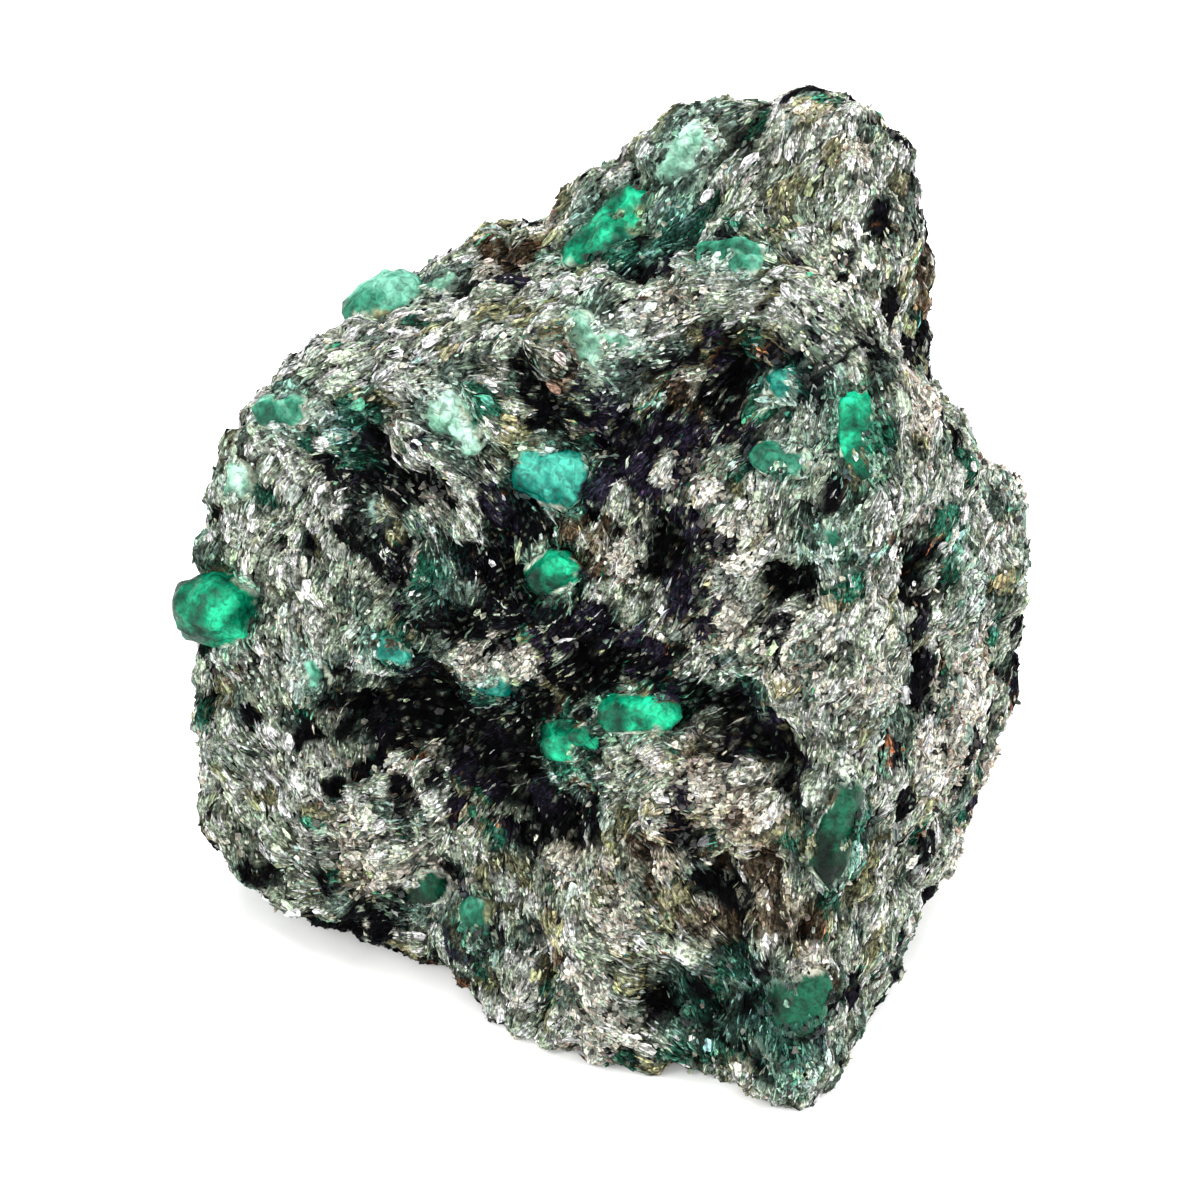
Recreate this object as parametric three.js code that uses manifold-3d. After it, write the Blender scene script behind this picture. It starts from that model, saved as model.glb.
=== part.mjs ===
// Emerald in matrix: a hand specimen of mica schist with emerald crystals seated in its broken faces.
// Millimetres, +Z up. The stone stands on the worn flat of its underside and its best face looks to -Y.
import * as THREE from "three";
import { ConvexGeometry } from "three/addons/geometries/ConvexGeometry.js";
import { ConvexHull } from "three/addons/math/ConvexHull.js";
import { ImprovedNoise } from "three/addons/math/ImprovedNoise.js";
import { mergeVertices } from "three/addons/utils/BufferGeometryUtils.js";
import Module from "manifold-3d";

// Driving dimensions of the matrix.
const EDGE_ROUNDING = 0.35; // how far the broken edges are worn round
const SKIN = 0.45; // what the rounding takes off the corners, given back all over
const SPUR_FILLET = 2; // where the spur grows out of the main block
const SWELL_SPACING = 8; // coarse swells of the broken faces
const SWELL_HEIGHT = 0.75;
const KNOB_SPACING = 4; // smaller knobs between them
const KNOB_HEIGHT = 0.5;
const LAYER_SPACING = 5.2; // steps where packets of mica broke off
const LAYER_HEIGHT = 0.3;
const LAYER_NORMAL = new THREE.Vector3(-0.35, -0.45, 0.82).normalize();
const SKIN_SPLITS = 13; // splits of each edge of the icosahedron that becomes the skin
const UNDERSIDE = -1.1; // height of the worn flat that the stone stands on, below the foremost foot
const HEART = new THREE.Vector3(1, 25, 22); // a point well inside, from which the skin is laid
const REACH = 60; // longer than any way from the heart to the skin
const SKIN_HALVINGS = 30; // halvings of that way in the search for the skin
const SEAT_TOUCH = 0.001; // a line this close to the blocks has met them
const SEAT_STRIDE = 0.8; // share of the distance to the blocks that one step along a line may take
const SEAT_LEAST_STEP = 0.02;
const SLOPE_STEP = 0.4; // how far apart distances are compared to find the way straight out
const WELD_GAP = 1e-5; // corners closer than this are one

// Driving dimensions of the crystals.
const SOCKET_GAP = 0.4; // room between a crystal's faces and the matrix around it
const CRYSTAL_SIDES = 6; // emerald grows as six-sided prisms
const FACE_JITTER = 0.14; // uneven growth, as a share of the size
const CORNER_SHIFT = 0.25; // how far a worn crystal's long edges stray, as a share of a side
const SHARP_SIDE = 0.84; // share of the length that a sharp crystal's sides take up
const WORN_SIDE = 0.42; // and a worn one's
const SHARP_END = 0.84; // share of the width that a sharp crystal's ends keep
const WORN_END = 0.52; // and a worn one's
const CRYSTAL_SEED = 977;

// The picture that the seen points are measured in looks at the stone from the front and from above.
// Its places are millimetres to the right of and above its middle.
const VIEW_TILT = THREE.MathUtils.degToRad(35);
const VIEW_DISTANCE = 420;
const VIEW_MIDDLE = new THREE.Vector3(0, 22, 21.6);
const VIEW_BACK = new THREE.Vector3(0, -Math.cos(VIEW_TILT), Math.sin(VIEW_TILT));
const VIEW_UP = new THREE.Vector3(0, Math.sin(VIEW_TILT), Math.cos(VIEW_TILT));
const EYE = VIEW_MIDDLE.clone().addScaledVector(VIEW_BACK, VIEW_DISTANCE);

// Corners that the picture shows are [right, up, depth behind the foremost foot].
const BLOCK_SEEN = [
  [12, -30.7, 0.6], // foremost foot
  [-2.4, -27.5, 6],
  [-7, -24.8, 10],
  [-20, -18.2, 19], // left heel
  [-23.7, -15.6, 21],
  [-23.9, -6.9, 22],
  [-24.2, 2.4, 24],
  [-23, 9.2, 25],
  [-20, 12.6, 26],
  [-18.2, 12.8, 23], // left end of the brow
  [-15.4, 17, 32],
  [-9.4, 20.8, 34],
  [-5.7, 22, 35],
  [2.4, 18.2, 24], // middle of the brow
  [9.6, 18.8, 20],
  [17, 13.4, 15], // right end of the brow, where the front edge starts down
  [16.4, 2.4, 10],
  [13.4, -18, 2],
  [20.6, 9.4, 27],
  [24.2, 6.3, 28], // right shoulder
  [25.9, 0.6, 28],
  [25.3, -6, 27],
  [22.4, -10.8, 25],
  [19.8, -16.2, 21],
  [18.5, -20.7, 14],
  [15.8, -25.3, 7],
];
// Corners on the far side are [x, y, z].
const BLOCK_HIDDEN = [
  [-16, 37, -3],
  [-21, 33, 16],
  [-17, 39, 26],
  [-10, 42, 30.5],
  [0, 45, -3],
  [4, 47, 24],
  [12, 43, -3],
  [19, 30, -3],
  [18, 41, 12],
  [19, 37, 26],
  [14, 42, 33],
  [0, 44, 33],
  [12, 3, -3],
  [-7, 14, -3],
  [-12, 24, -3],
];
const SPUR_SEEN = [
  [-2, 23.9, 35],
  [2.7, 27.9, 34],
  [5.6, 29.4, 33],
  [11.7, 30.7, 31], // peak
  [17.2, 29.5, 29],
  [18.4, 27, 28],
  [18.4, 24, 27],
  [18.4, 18, 26],
  [19.5, 12.9, 26],
  [9.6, 18.8, 21],
  [17, 13.4, 17],
  [2.4, 18.2, 25],
];
const SPUR_HIDDEN = [
  [0, 40, 38],
  [6, 40, 42.5],
  [15, 40, 44],
  [17, 40, 34],
  [8, 32, 24],
];

// Pits and lumps of the broken faces: [right, up, reach, height], a pit's height below zero.
const RELIEF = [
  [-10.5, -8, 4, -1.9], // the dark hollow that runs across the front
  [-4.8, -6.9, 4, -2],
  [1.2, -4.5, 3.5, -1.5],
  [-2.4, -12.9, 4, -1.6],
  [8.1, -8.4, 4, -2.6],
  [10.5, -0.3, 3, -1.2],
  [3, 2.4, 3.5, -1],
  [8.4, 14.6, 4.2, -3], // under the arched rim
  [5.4, 9.6, 3.5, -1.4],
  [0, 9.6, 3, -1],
  [5.4, -23.4, 4, -1.6],
  [7.2, -16.8, 3.5, -1.4],
  [-9, -16.8, 3.5, -1.2],
  [-12, -21.5, 4, -2.4], // under the left heel
  [18.9, 2.4, 3.5, -1],
  [18.3, -6, 3.5, -1],
  [0.9, -18, 3.5, 1.2], // pale grains that stand out of the front
  [5.4, -11.4, 4, 1.3],
  [11.7, -3, 3.5, 1],
  [8.4, 3.6, 3.5, 0.9],
  [2.4, 3.6, 3.5, 0.9],
  [21, -7.2, 4.5, 1],
  [21.6, -14, 3.2, -0.5],
  [5.4, -28.4, 4, -0.8],
  [-15, -16.2, 3, 1],
  [-0.9, -23.1, 3, 1],
  [-8.4, 10.2, 4, 1],
  [-10.2, -11.4, 3, 0.9],
  [-16.2, 2.4, 4, 0.8],
  [15, 24, 4, 0.9],
  [2.4, 18, 2.6, 0.7], // the arched rim at the foot of the spur
  [6, 18.6, 2.6, 1.1],
  [9.6, 18.8, 2.6, 1.2],
  [13.8, 17, 2.6, 1.2],
  [16.6, 13.4, 2.6, 1],
];

// Emerald crystals. Seen ones give a place in the picture, far ones a bearing and a height angle from the
// heart. size is length, width and height, turn is the long axis against the picture's level, and worn is 0
// for sharp six-sided faces and 1 for a rounded grain. rise lifts the crystal by a share of its height.
const CRYSTALS = [
  { name: "emerald_left_bead", seen: [-22.9, -0.3], size: [5, 4.6, 4.4], turn: 30, worn: 0.9, rise: -0.1 },
  { name: "emerald_top_dome", seen: [-13.1, 18], size: [4.5, 3.9, 3.8], turn: 15, worn: 0.8, rise: 0.05 },
  { name: "emerald_top_chip", seen: [-9.6, 19.1], size: [2.2, 1.8, 1.8], turn: 60, worn: 0.4, rise: 0 },
  { name: "emerald_brow_left", seen: [-18.9, 11.4], size: [3.4, 2.4, 2.2], turn: 10, worn: 0.4, rise: -0.1 },
  { name: "emerald_left_rim", seen: [-21.7, 7], size: [2.6, 2.4, 2.2], turn: 70, worn: 0.6, rise: -0.1 },
  { name: "emerald_block", seen: [-3.1, 7.4], size: [4.3, 3.7, 3.2], turn: -15, worn: 0.15, rise: 0 },
  { name: "emerald_middle", seen: [-2.8, 1.6], size: [3.2, 2.8, 2.6], turn: 40, worn: 0.4, rise: -0.1 },
  { name: "emerald_bright_bar", seen: [2.1, -7], size: [4.4, 2.6, 2.4], turn: 8, worn: 0.25, rise: 0.05 },
  { name: "emerald_vivid", seen: [-2.2, -9.2], size: [3.8, 3, 2.6], turn: 15, worn: 0.3, rise: 0 },
  { name: "emerald_brow_pale", seen: [-8.3, 10.8], size: [4.4, 3.3, 2.6], turn: -40, worn: 0.5, rise: -0.2 },
  { name: "emerald_spur_foot", seen: [0.7, 21.7], size: [5.8, 5, 4.4], turn: 70, worn: 0.1, rise: -0.05 },
  { name: "emerald_spur_slope", seen: [5.4, 27], size: [4.4, 3.6, 3.2], turn: 25, worn: 0.4, rise: -0.15 },
  { name: "emerald_spur_middle", seen: [8.1, 19.9], size: [4.2, 3.2, 2.8], turn: 160, worn: 0.4, rise: -0.2 },
  { name: "emerald_shelf_large", seen: [0.2, 15.2], size: [5.2, 4.4, 3.4], turn: 150, worn: 0.5, rise: -0.25 },
  { name: "emerald_arch_dark", seen: [11.1, 12.9], size: [3.6, 3.3, 3], turn: 0, worn: 0.7, rise: -0.1 },
  { name: "emerald_arch_upright", seen: [15.5, 9.8], size: [4.8, 2.5, 2.4], turn: 95, worn: 0.3, rise: -0.15 },
  { name: "emerald_arch_bright", seen: [10.8, 8.3], size: [3.6, 2.2, 2.2], turn: -10, worn: 0.3, rise: -0.05 },
  { name: "emerald_edge_pale", seen: [13.9, 4.2], size: [3.9, 3.2, 2.6], turn: 60, worn: 0.5, rise: -0.2 },
  { name: "emerald_edge_smear", seen: [14.2, -13.8], size: [6, 2.8, 2.2], turn: 75, worn: 0.5, rise: -0.2 },
  { name: "emerald_foot_dark", seen: [11.7, -24.2], size: [4.2, 3.5, 2.8], turn: 80, worn: 0.5, rise: -0.2 },
  { name: "emerald_foot_tip", seen: [11.5, -28.2], size: [2.4, 2.2, 1.8], turn: 20, worn: 0.5, rise: -0.2 },
  { name: "emerald_heel_dark", seen: [-11, -17.5], size: [3.1, 2.8, 2.5], turn: 20, worn: 0.5, rise: -0.15 },
  { name: "emerald_heel_teal", seen: [-7.5, -19.7], size: [3.6, 3, 2.4], turn: 70, worn: 0.6, rise: -0.2 },
  { name: "emerald_left_pale", seen: [-17.2, -4.3], size: [2.7, 2.2, 2], turn: 80, worn: 0.5, rise: -0.1 },
  { name: "emerald_left_teal", seen: [-12.6, -2.7], size: [2.5, 2.3, 2], turn: 0, worn: 0.5, rise: -0.1 },
  { name: "emerald_hollow_teal", seen: [-6.8, -5.2], size: [2.8, 2, 2], turn: 5, worn: 0.4, rise: 0 },
  { name: "emerald_grey", seen: [-13.1, 5.2], size: [2.6, 2.4, 2.2], turn: 30, worn: 0.8, rise: -0.15 },
  { name: "emerald_front_left", seen: [-9.2, 1.5], size: [2.5, 2.2, 2], turn: 50, worn: 0.5, rise: -0.15 },
  { name: "emerald_left_low", seen: [-22.4, -8.4], size: [2.5, 2.2, 2.2], turn: 80, worn: 0.5, rise: -0.1 },
  { name: "emerald_right_slab", seen: [24.6, 3.4], size: [5, 2.4, 2], turn: 80, worn: 0.4, rise: 0 },
  { name: "emerald_right_grey", seen: [21.6, 0.6], size: [2.6, 2.4, 2], turn: 20, worn: 0.7, rise: -0.1 },
  { name: "emerald_right_yellow", seen: [16.3, -6.6], size: [2.5, 2, 2], turn: 80, worn: 0.6, rise: -0.1 },
  { name: "emerald_front_low", seen: [5.6, -25.6], size: [2.5, 2.1, 1.8], turn: 30, worn: 0.5, rise: -0.15 },
  { name: "emerald_back_large", far: [95, 12], size: [5.6, 4.2, 3.8], turn: 55, worn: 0.15, rise: -0.05 },
  { name: "emerald_back_upper", far: [74, 36], size: [3.8, 3.2, 2.8], turn: 20, worn: 0.4, rise: -0.1 },
  { name: "emerald_back_lower", far: [112, -20], size: [3.8, 3, 2.8], turn: 100, worn: 0.4, rise: -0.1 },
  { name: "emerald_back_left", far: [133, 22], size: [4.2, 3.4, 3], turn: 30, worn: 0.5, rise: -0.1 },
  { name: "emerald_back_bead", far: [152, -6], size: [3.2, 3, 2.8], turn: 0, worn: 0.9, rise: -0.1 },
  { name: "emerald_back_right", far: [58, -14], size: [3.6, 2.8, 2.6], turn: 140, worn: 0.3, rise: -0.1 },
  { name: "emerald_back_shelf", far: [122, 32], size: [3.6, 3, 2.6], turn: 75, worn: 0.5, rise: -0.1 },
  { name: "emerald_side_right", far: [28, -4], size: [3.6, 2.6, 2.4], turn: 70, worn: 0.4, rise: -0.1 },
];

const MATRIX_FINISH = { color: 0x6f776c, roughness: 0.6, metalness: 0 };
const EMERALD_FINISH = { color: 0x2f9a75, roughness: 0.25, metalness: 0 };

// Sight lines of the picture

function sightLine(right, up) {
  const target = VIEW_MIDDLE.clone().addScaledVector(VIEW_UP, up);
  target.x += right;
  return target.sub(EYE).normalize();
}

function seenPoint([right, up, depth]) {
  const sight = sightLine(right, up);
  return EYE.clone().addScaledVector(sight, (depth - EYE.y) / sight.y);
}

// The stone as a distance: below zero inside it, above zero outside

function hullPlanes(seenCorners, hiddenCorners) {
  const hidden = hiddenCorners.map((corner) => new THREE.Vector3(...corner));
  const corners = [...seenCorners.map(seenPoint), ...hidden];
  const hull = new ConvexHull().setFromPoints(corners);
  return hull.faces.map((face) => ({ normal: face.normal.clone(), offset: face.constant }));
}

const mainBlock = hullPlanes(BLOCK_SEEN, BLOCK_HIDDEN);
const spur = hullPlanes(SPUR_SEEN, SPUR_HIDDEN);

// The smooth maximum of the distances to a block's planes is a block with rounded edges.
function blockDistance(planes, point) {
  const distances = planes.map((plane) => plane.normal.dot(point) - plane.offset);
  const largest = Math.max(...distances);
  const excesses = distances.map((distance) => Math.exp((distance - largest) / EDGE_ROUNDING));
  const sum = excesses.reduce((total, excess) => total + excess, 0);
  return largest + EDGE_ROUNDING * Math.log(sum);
}

function smoothMinimum(a, b, fillet) {
  const share = Math.max(fillet - Math.abs(a - b), 0) / fillet;
  return Math.min(a, b) - (share * share * fillet) / 4;
}

function blocksDistance(point) {
  return smoothMinimum(blockDistance(mainBlock, point), blockDistance(spur, point), SPUR_FILLET) - SKIN;
}

// Where a line first meets the blocks, or the point of the skin that it passes closest to.
function seat(start, sight) {
  const point = start.clone();
  const nearest = point.clone();
  let least = Infinity;
  const lastStep = VIEW_DISTANCE + REACH;
  for (let travelled = 0; travelled < lastStep; ) {
    const distance = blocksDistance(point);
    if (distance < least) {
      least = distance;
      nearest.copy(point);
    }
    if (distance < SEAT_TOUCH) {
      break;
    }
    const step = Math.max(distance * SEAT_STRIDE, SEAT_LEAST_STEP);
    point.addScaledVector(sight, step);
    travelled += step;
  }
  return nearest.addScaledVector(outward(nearest), -least);
}

// The direction straight out of the blocks at a point.
function outward(point) {
  const slope = (axis) => {
    const ahead = point.clone();
    ahead[axis] += SLOPE_STEP;
    const behind = point.clone();
    behind[axis] -= SLOPE_STEP;
    return blocksDistance(ahead) - blocksDistance(behind);
  };
  return new THREE.Vector3(slope("x"), slope("y"), slope("z")).normalize();
}

const relief = RELIEF.map(([right, up, reach, height]) => ({
  centre: seat(EYE, sightLine(right, up)),
  reach,
  height,
}));
const noise = new ImprovedNoise();

function noiseAt(point, spacing) {
  return noise.noise(point.x / spacing, point.y / spacing, point.z / spacing);
}

function reliefHeight(point) {
  let height = SWELL_HEIGHT * noiseAt(point, SWELL_SPACING) + KNOB_HEIGHT * noiseAt(point, KNOB_SPACING);
  const layer = (point.dot(LAYER_NORMAL) + SWELL_HEIGHT * noiseAt(point, SWELL_SPACING)) / LAYER_SPACING;
  height += LAYER_HEIGHT * (2 * (layer - Math.floor(layer)) - 1);
  for (const form of relief) {
    const away = point.distanceToSquared(form.centre) / (form.reach * form.reach);
    height += form.height * Math.exp(-away);
  }
  return height;
}

function stoneDistance(point) {
  return blocksDistance(point) - reliefHeight(point);
}

// The skin of the matrix: directions of a divided icosahedron, each carried from the heart to the surface.
function skinGeometry() {
  const skin = weld(new THREE.IcosahedronGeometry(1, SKIN_SPLITS));
  const position = skin.getAttribute("position");
  const direction = new THREE.Vector3();
  for (let i = 0; i < position.count; i++) {
    direction.fromBufferAttribute(position, i).normalize();
    const point = skinPoint(direction);
    position.setXYZ(i, point.x, point.y, point.z);
  }
  return skin;
}

function skinPoint(direction) {
  const point = new THREE.Vector3();
  let inside = 0;
  let outside = REACH;
  for (let halving = 0; halving < SKIN_HALVINGS; halving++) {
    const middle = (inside + outside) / 2;
    point.copy(HEART).addScaledVector(direction, middle);
    if (stoneDistance(point) < 0) {
      inside = middle;
    } else {
      outside = middle;
    }
  }
  return point;
}

// Closed meshes to solids and back

const wasm = await Module();
wasm.setup();

function weld(geometry) {
  const bare = geometry.clone();
  bare.deleteAttribute("normal");
  bare.deleteAttribute("uv");
  return mergeVertices(bare, WELD_GAP);
}

function solidOf(geometry) {
  const welded = weld(geometry);
  const vertProperties = new Float32Array(welded.getAttribute("position").array);
  const triVerts = new Uint32Array(welded.getIndex().array);
  return new wasm.Manifold(new wasm.Mesh({ numProp: 3, vertProperties, triVerts }));
}

function geometryOf(solid) {
  const mesh = solid.getMesh();
  const geometry = new THREE.BufferGeometry();
  geometry.setAttribute("position", new THREE.BufferAttribute(new Float32Array(mesh.vertProperties), 3));
  geometry.setIndex(new THREE.BufferAttribute(new Uint32Array(mesh.triVerts), 1));
  geometry.computeVertexNormals();
  return geometry;
}

// Everything below the worn flat.
function groundSolid() {
  const side = 2 * REACH;
  const ground = new THREE.BoxGeometry(side, side, REACH);
  ground.translate(HEART.x, HEART.y, UNDERSIDE - REACH / 2);
  return solidOf(ground);
}

// Repeatable uneven numbers between -1 and 1.
function unevenNumbers(seed) {
  let state = seed;
  return () => {
    state = (state * 1664525 + 1013904223) % 4294967296;
    return state / 2147483648 - 1;
  };
}

// A six-sided prism along X with stepped-in ends: the more worn, the shorter its sides and smaller its ends.
function crystalGeometry({ size: [length, width, height], worn }, seed, growth) {
  const uneven = unevenNumbers(seed);
  const sideShare = THREE.MathUtils.lerp(SHARP_SIDE, WORN_SIDE, worn);
  const endShare = THREE.MathUtils.lerp(SHARP_END, WORN_END, worn);
  const stations = [
    [-1, endShare],
    [-sideShare, 1],
    [sideShare, 1],
    [1, endShare],
  ];
  const points = [];
  for (const [along, share] of stations) {
    for (let side = 0; side < CRYSTAL_SIDES; side++) {
      const angle = (2 * Math.PI * (side + CORNER_SHIFT * worn * uneven())) / CRYSTAL_SIDES;
      const x = along * (1 + FACE_JITTER * uneven()) * (length / 2);
      const y = share * (1 + FACE_JITTER * uneven()) * (width / 2) * Math.cos(angle);
      const z = share * (1 + FACE_JITTER * uneven()) * (height / 2) * Math.sin(angle);
      const point = new THREE.Vector3(x, y, z);
      points.push(point.multiplyScalar(1 + growth / point.length()));
    }
  }
  return new ConvexGeometry(points);
}

// Sits a crystal on the skin, its long axis turned in the picture and its height straight out of the surface.
function crystalPlace(crystal) {
  const foot = crystal.seen ? seat(EYE, sightLine(...crystal.seen)) : farSeat(crystal.far);
  const normal = outward(foot);
  const turn = THREE.MathUtils.degToRad(crystal.turn);
  const along = VIEW_UP.clone().multiplyScalar(Math.sin(turn));
  along.x += Math.cos(turn);
  along.addScaledVector(normal, -along.dot(normal)).normalize();
  const across = new THREE.Vector3().crossVectors(normal, along);
  const lift = reliefHeight(foot) + crystal.rise * crystal.size[2];
  const place = new THREE.Matrix4().makeBasis(along, across, normal);
  return place.setPosition(foot.addScaledVector(normal, lift));
}

function farSeat([bearing, heightAngle]) {
  const around = THREE.MathUtils.degToRad(bearing);
  const above = THREE.MathUtils.degToRad(heightAngle);
  const direction = new THREE.Vector3(Math.cos(around), Math.sin(around), 0);
  direction.multiplyScalar(Math.cos(above));
  direction.z = Math.sin(above);
  const start = HEART.clone().addScaledVector(direction, REACH);
  return seat(start, direction.negate());
}

// The specimen

let rock = solidOf(skinGeometry()).subtract(groundSolid());
const stone = new THREE.Group();
CRYSTALS.forEach((crystal, index) => {
  const place = crystalPlace(crystal);
  const seed = CRYSTAL_SEED * (index + 1);
  const socket = crystalGeometry(crystal, seed, SOCKET_GAP).applyMatrix4(place);
  rock = rock.subtract(solidOf(socket));
  const finish = new THREE.MeshStandardMaterial(EMERALD_FINISH);
  const mesh = new THREE.Mesh(crystalGeometry(crystal, seed, 0), finish);
  mesh.name = crystal.name;
  mesh.applyMatrix4(place);
  stone.add(mesh);
});
const matrix = new THREE.Mesh(geometryOf(rock), new THREE.MeshStandardMaterial(MATRIX_FINISH));
matrix.name = "matrix";
stone.add(matrix);

// The origin is under the middle of the specimen, on the surface that it stands on.
const box = new THREE.Box3().setFromObject(stone, true);
stone.position.set(-(box.min.x + box.max.x) / 2, -(box.min.y + box.max.y) / 2, -box.min.z);
const specimen = new THREE.Group();
specimen.add(stone);

export default specimen;
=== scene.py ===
"""Looks of an emerald in matrix: a lump of mica schist whose broken faces hold emerald crystals.

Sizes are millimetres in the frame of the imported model, and a mesh turns them to metres as it is written.
"""

import logging
import math
from dataclasses import dataclass, field
from enum import Enum, IntEnum

import bpy
import numpy as np
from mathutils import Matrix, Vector
from mathutils.bvhtree import BVHTree


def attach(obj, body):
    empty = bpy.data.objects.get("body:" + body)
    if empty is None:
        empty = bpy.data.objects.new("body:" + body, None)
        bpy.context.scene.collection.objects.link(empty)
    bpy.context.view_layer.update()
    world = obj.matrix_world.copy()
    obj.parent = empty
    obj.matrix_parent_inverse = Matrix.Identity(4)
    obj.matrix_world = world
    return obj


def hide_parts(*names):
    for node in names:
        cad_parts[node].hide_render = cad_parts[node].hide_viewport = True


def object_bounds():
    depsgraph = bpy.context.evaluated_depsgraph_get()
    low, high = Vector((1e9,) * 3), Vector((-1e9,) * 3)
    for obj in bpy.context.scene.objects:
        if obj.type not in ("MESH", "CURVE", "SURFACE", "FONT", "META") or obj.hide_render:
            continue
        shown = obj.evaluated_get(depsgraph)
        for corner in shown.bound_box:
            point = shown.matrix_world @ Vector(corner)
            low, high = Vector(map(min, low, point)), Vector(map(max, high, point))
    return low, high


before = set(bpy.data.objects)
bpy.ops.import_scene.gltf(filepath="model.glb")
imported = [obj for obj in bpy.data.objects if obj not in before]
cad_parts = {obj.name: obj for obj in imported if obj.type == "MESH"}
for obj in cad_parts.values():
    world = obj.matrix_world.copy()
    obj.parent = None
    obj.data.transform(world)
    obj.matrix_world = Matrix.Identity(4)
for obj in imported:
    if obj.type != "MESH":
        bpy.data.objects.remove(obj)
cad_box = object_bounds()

log = logging.getLogger("emerald_in_matrix")

MM = 0.001
BODY = "root"
SEED = 20
TINT = "Tint"
GRAIN = "Grain"
BAKE_MAP = "OFBake"

Settings = dict[str, object]
Pair = tuple[float, float]
Span = tuple[float, float, float, float]

# Numbers that mix the bits of a cell's indices.
HASH_FACTORS = (73856093, 19349663, 83492791)
HASH_SEED = 2654435761
HASH_STEPS = ((15, 2246822519), (13, 3266489917), (16, 668265263))
HASH_RANGE = 2**32

# Middle of a shape's own cell of the map.
CHART_MIDDLE = 0.5


class Noise(IntEnum):
    """Seeds that tell one noise from another."""

    GRAIN = 20
    SKIN_OWN = 23
    MINERAL = 27
    GRAIN_LIGHT = 28
    GRAIN_APART = 29
    GRIT = 31
    ZONE = 41
    WOBBLE = 51
    BULGE = 61
    RIPPLE = 62
    CHUNK_SHAKE = 63
    CHUNK = 64
    CHUNK_HEIGHT = 65
    CLOUD = 66
    COVER = 67
    LAP = 69
    FACET = 70
    STREAK = 71
    LUMP_SHAKE = 81
    LUMP = 84
    BUNDLE = 87


class Zone(Enum):
    """Parts of the stone that differ in the mineral that shows."""

    # A dip in the skin, dark from black mica and from painted shade in it.
    HOLLOW = 0
    PALE = 1
    SILVER = 2
    OLIVE = 3
    TEAL = 4
    MINT = 5
    RUST = 6
    VIOLET = 7
    # Light mica on the rims and raised lumps: partly real silvery mica, partly painted sheen where they catch
    # the light.
    SHEEN = 8
    BROWN = 9


class Mineral(Enum):
    """Colours of the grains of the schist, as sRGB hex values."""

    BIOTITE = "#09080e"
    SLATE = "#64776b"
    MUSCOVITE = "#bdcbb2"
    SERICITE = "#d8e1d0"
    FELDSPAR = "#e9e6d4"
    PHLOGOPITE = "#94946f"
    CHLORITE = "#2b6a54"
    BERYL = "#9fd6b9"
    LIMONITE = "#8f5c3c"
    BRONZE = "#5a4935"
    PURPLE_MICA = "#262131"


class Tint(Enum):
    """Body colours of the emeralds, from deep to pale, as sRGB hex values."""

    LEAF = ("#002a1e", "#006749", "#1aa67a")
    SEA = ("#002e29", "#006053", "#429f8c")
    DOME = ("#0d4735", "#297058", "#69a58f")
    MINT = ("#375c4b", "#64917b", "#9dbdad")
    DARK = ("#000c06", "#012818", "#0f4c36")
    GREY = ("#2c3a2b", "#4b6759", "#86a196")


# How common each mineral is all over, and what each zone adds to it.
COMMON = {
    Mineral.BIOTITE: 0.25,
    Mineral.SLATE: 0.25,
    Mineral.MUSCOVITE: 0.24,
    Mineral.SERICITE: 0.10,
    Mineral.FELDSPAR: 0.06,
    Mineral.PHLOGOPITE: 0.08,
    Mineral.CHLORITE: 0.05,
    Mineral.BERYL: 0.01,
    Mineral.LIMONITE: 0.005,
    Mineral.BRONZE: 0.04,
    Mineral.PURPLE_MICA: 0.05,
}
ADDED = {
    # Black mica in the shaded hollows: partly real black mica, partly painted shade.
    Zone.HOLLOW: {Mineral.BIOTITE: 5.0, Mineral.PURPLE_MICA: 1.2},
    Zone.PALE: {Mineral.FELDSPAR: 5.0, Mineral.SERICITE: 2.0},
    Zone.SILVER: {Mineral.SERICITE: 3.0, Mineral.MUSCOVITE: 2.5},
    Zone.OLIVE: {Mineral.PHLOGOPITE: 2.5, Mineral.MUSCOVITE: 1.5, Mineral.SERICITE: 0.5},
    Zone.TEAL: {Mineral.CHLORITE: 2.4, Mineral.SLATE: 0.8},
    Zone.MINT: {Mineral.BERYL: 4.0},
    Zone.RUST: {Mineral.LIMONITE: 2.5, Mineral.FELDSPAR: 1.0},
    Zone.VIOLET: {Mineral.PURPLE_MICA: 4.0},
    # The painted sheen: light mica made common on the rims and raised lumps, where they catch the light.
    Zone.SHEEN: {
        Mineral.SERICITE: 1.8, Mineral.MUSCOVITE: 3.5, Mineral.SLATE: 0.6, Mineral.PHLOGOPITE: 0.6,
        Mineral.CHLORITE: 0.4,
    },
    Zone.BROWN: {Mineral.BRONZE: 4.0, Mineral.PHLOGOPITE: 1.0},
}

# What a zone's stain makes of a grain's grey, in red, green and blue.
STAINS = {Zone.TEAL: (0.42, 1.5, 1.15), Zone.MINT: (0.95, 1.5, 1.2), Zone.BROWN: (1.2, 0.95, 0.7)}

# How often each zone shows on the far side.
FAR_ZONES = {
    Zone.HOLLOW: 0.25,
    Zone.PALE: 0.12,
    Zone.SILVER: 0.11,
    Zone.OLIVE: 0.1,
    Zone.TEAL: 0.1,
    Zone.MINT: 0.02,
    Zone.RUST: 0.01,
    Zone.VIOLET: 0.04,
    Zone.SHEEN: 0.2,
    Zone.BROWN: 0.05,
}

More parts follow.
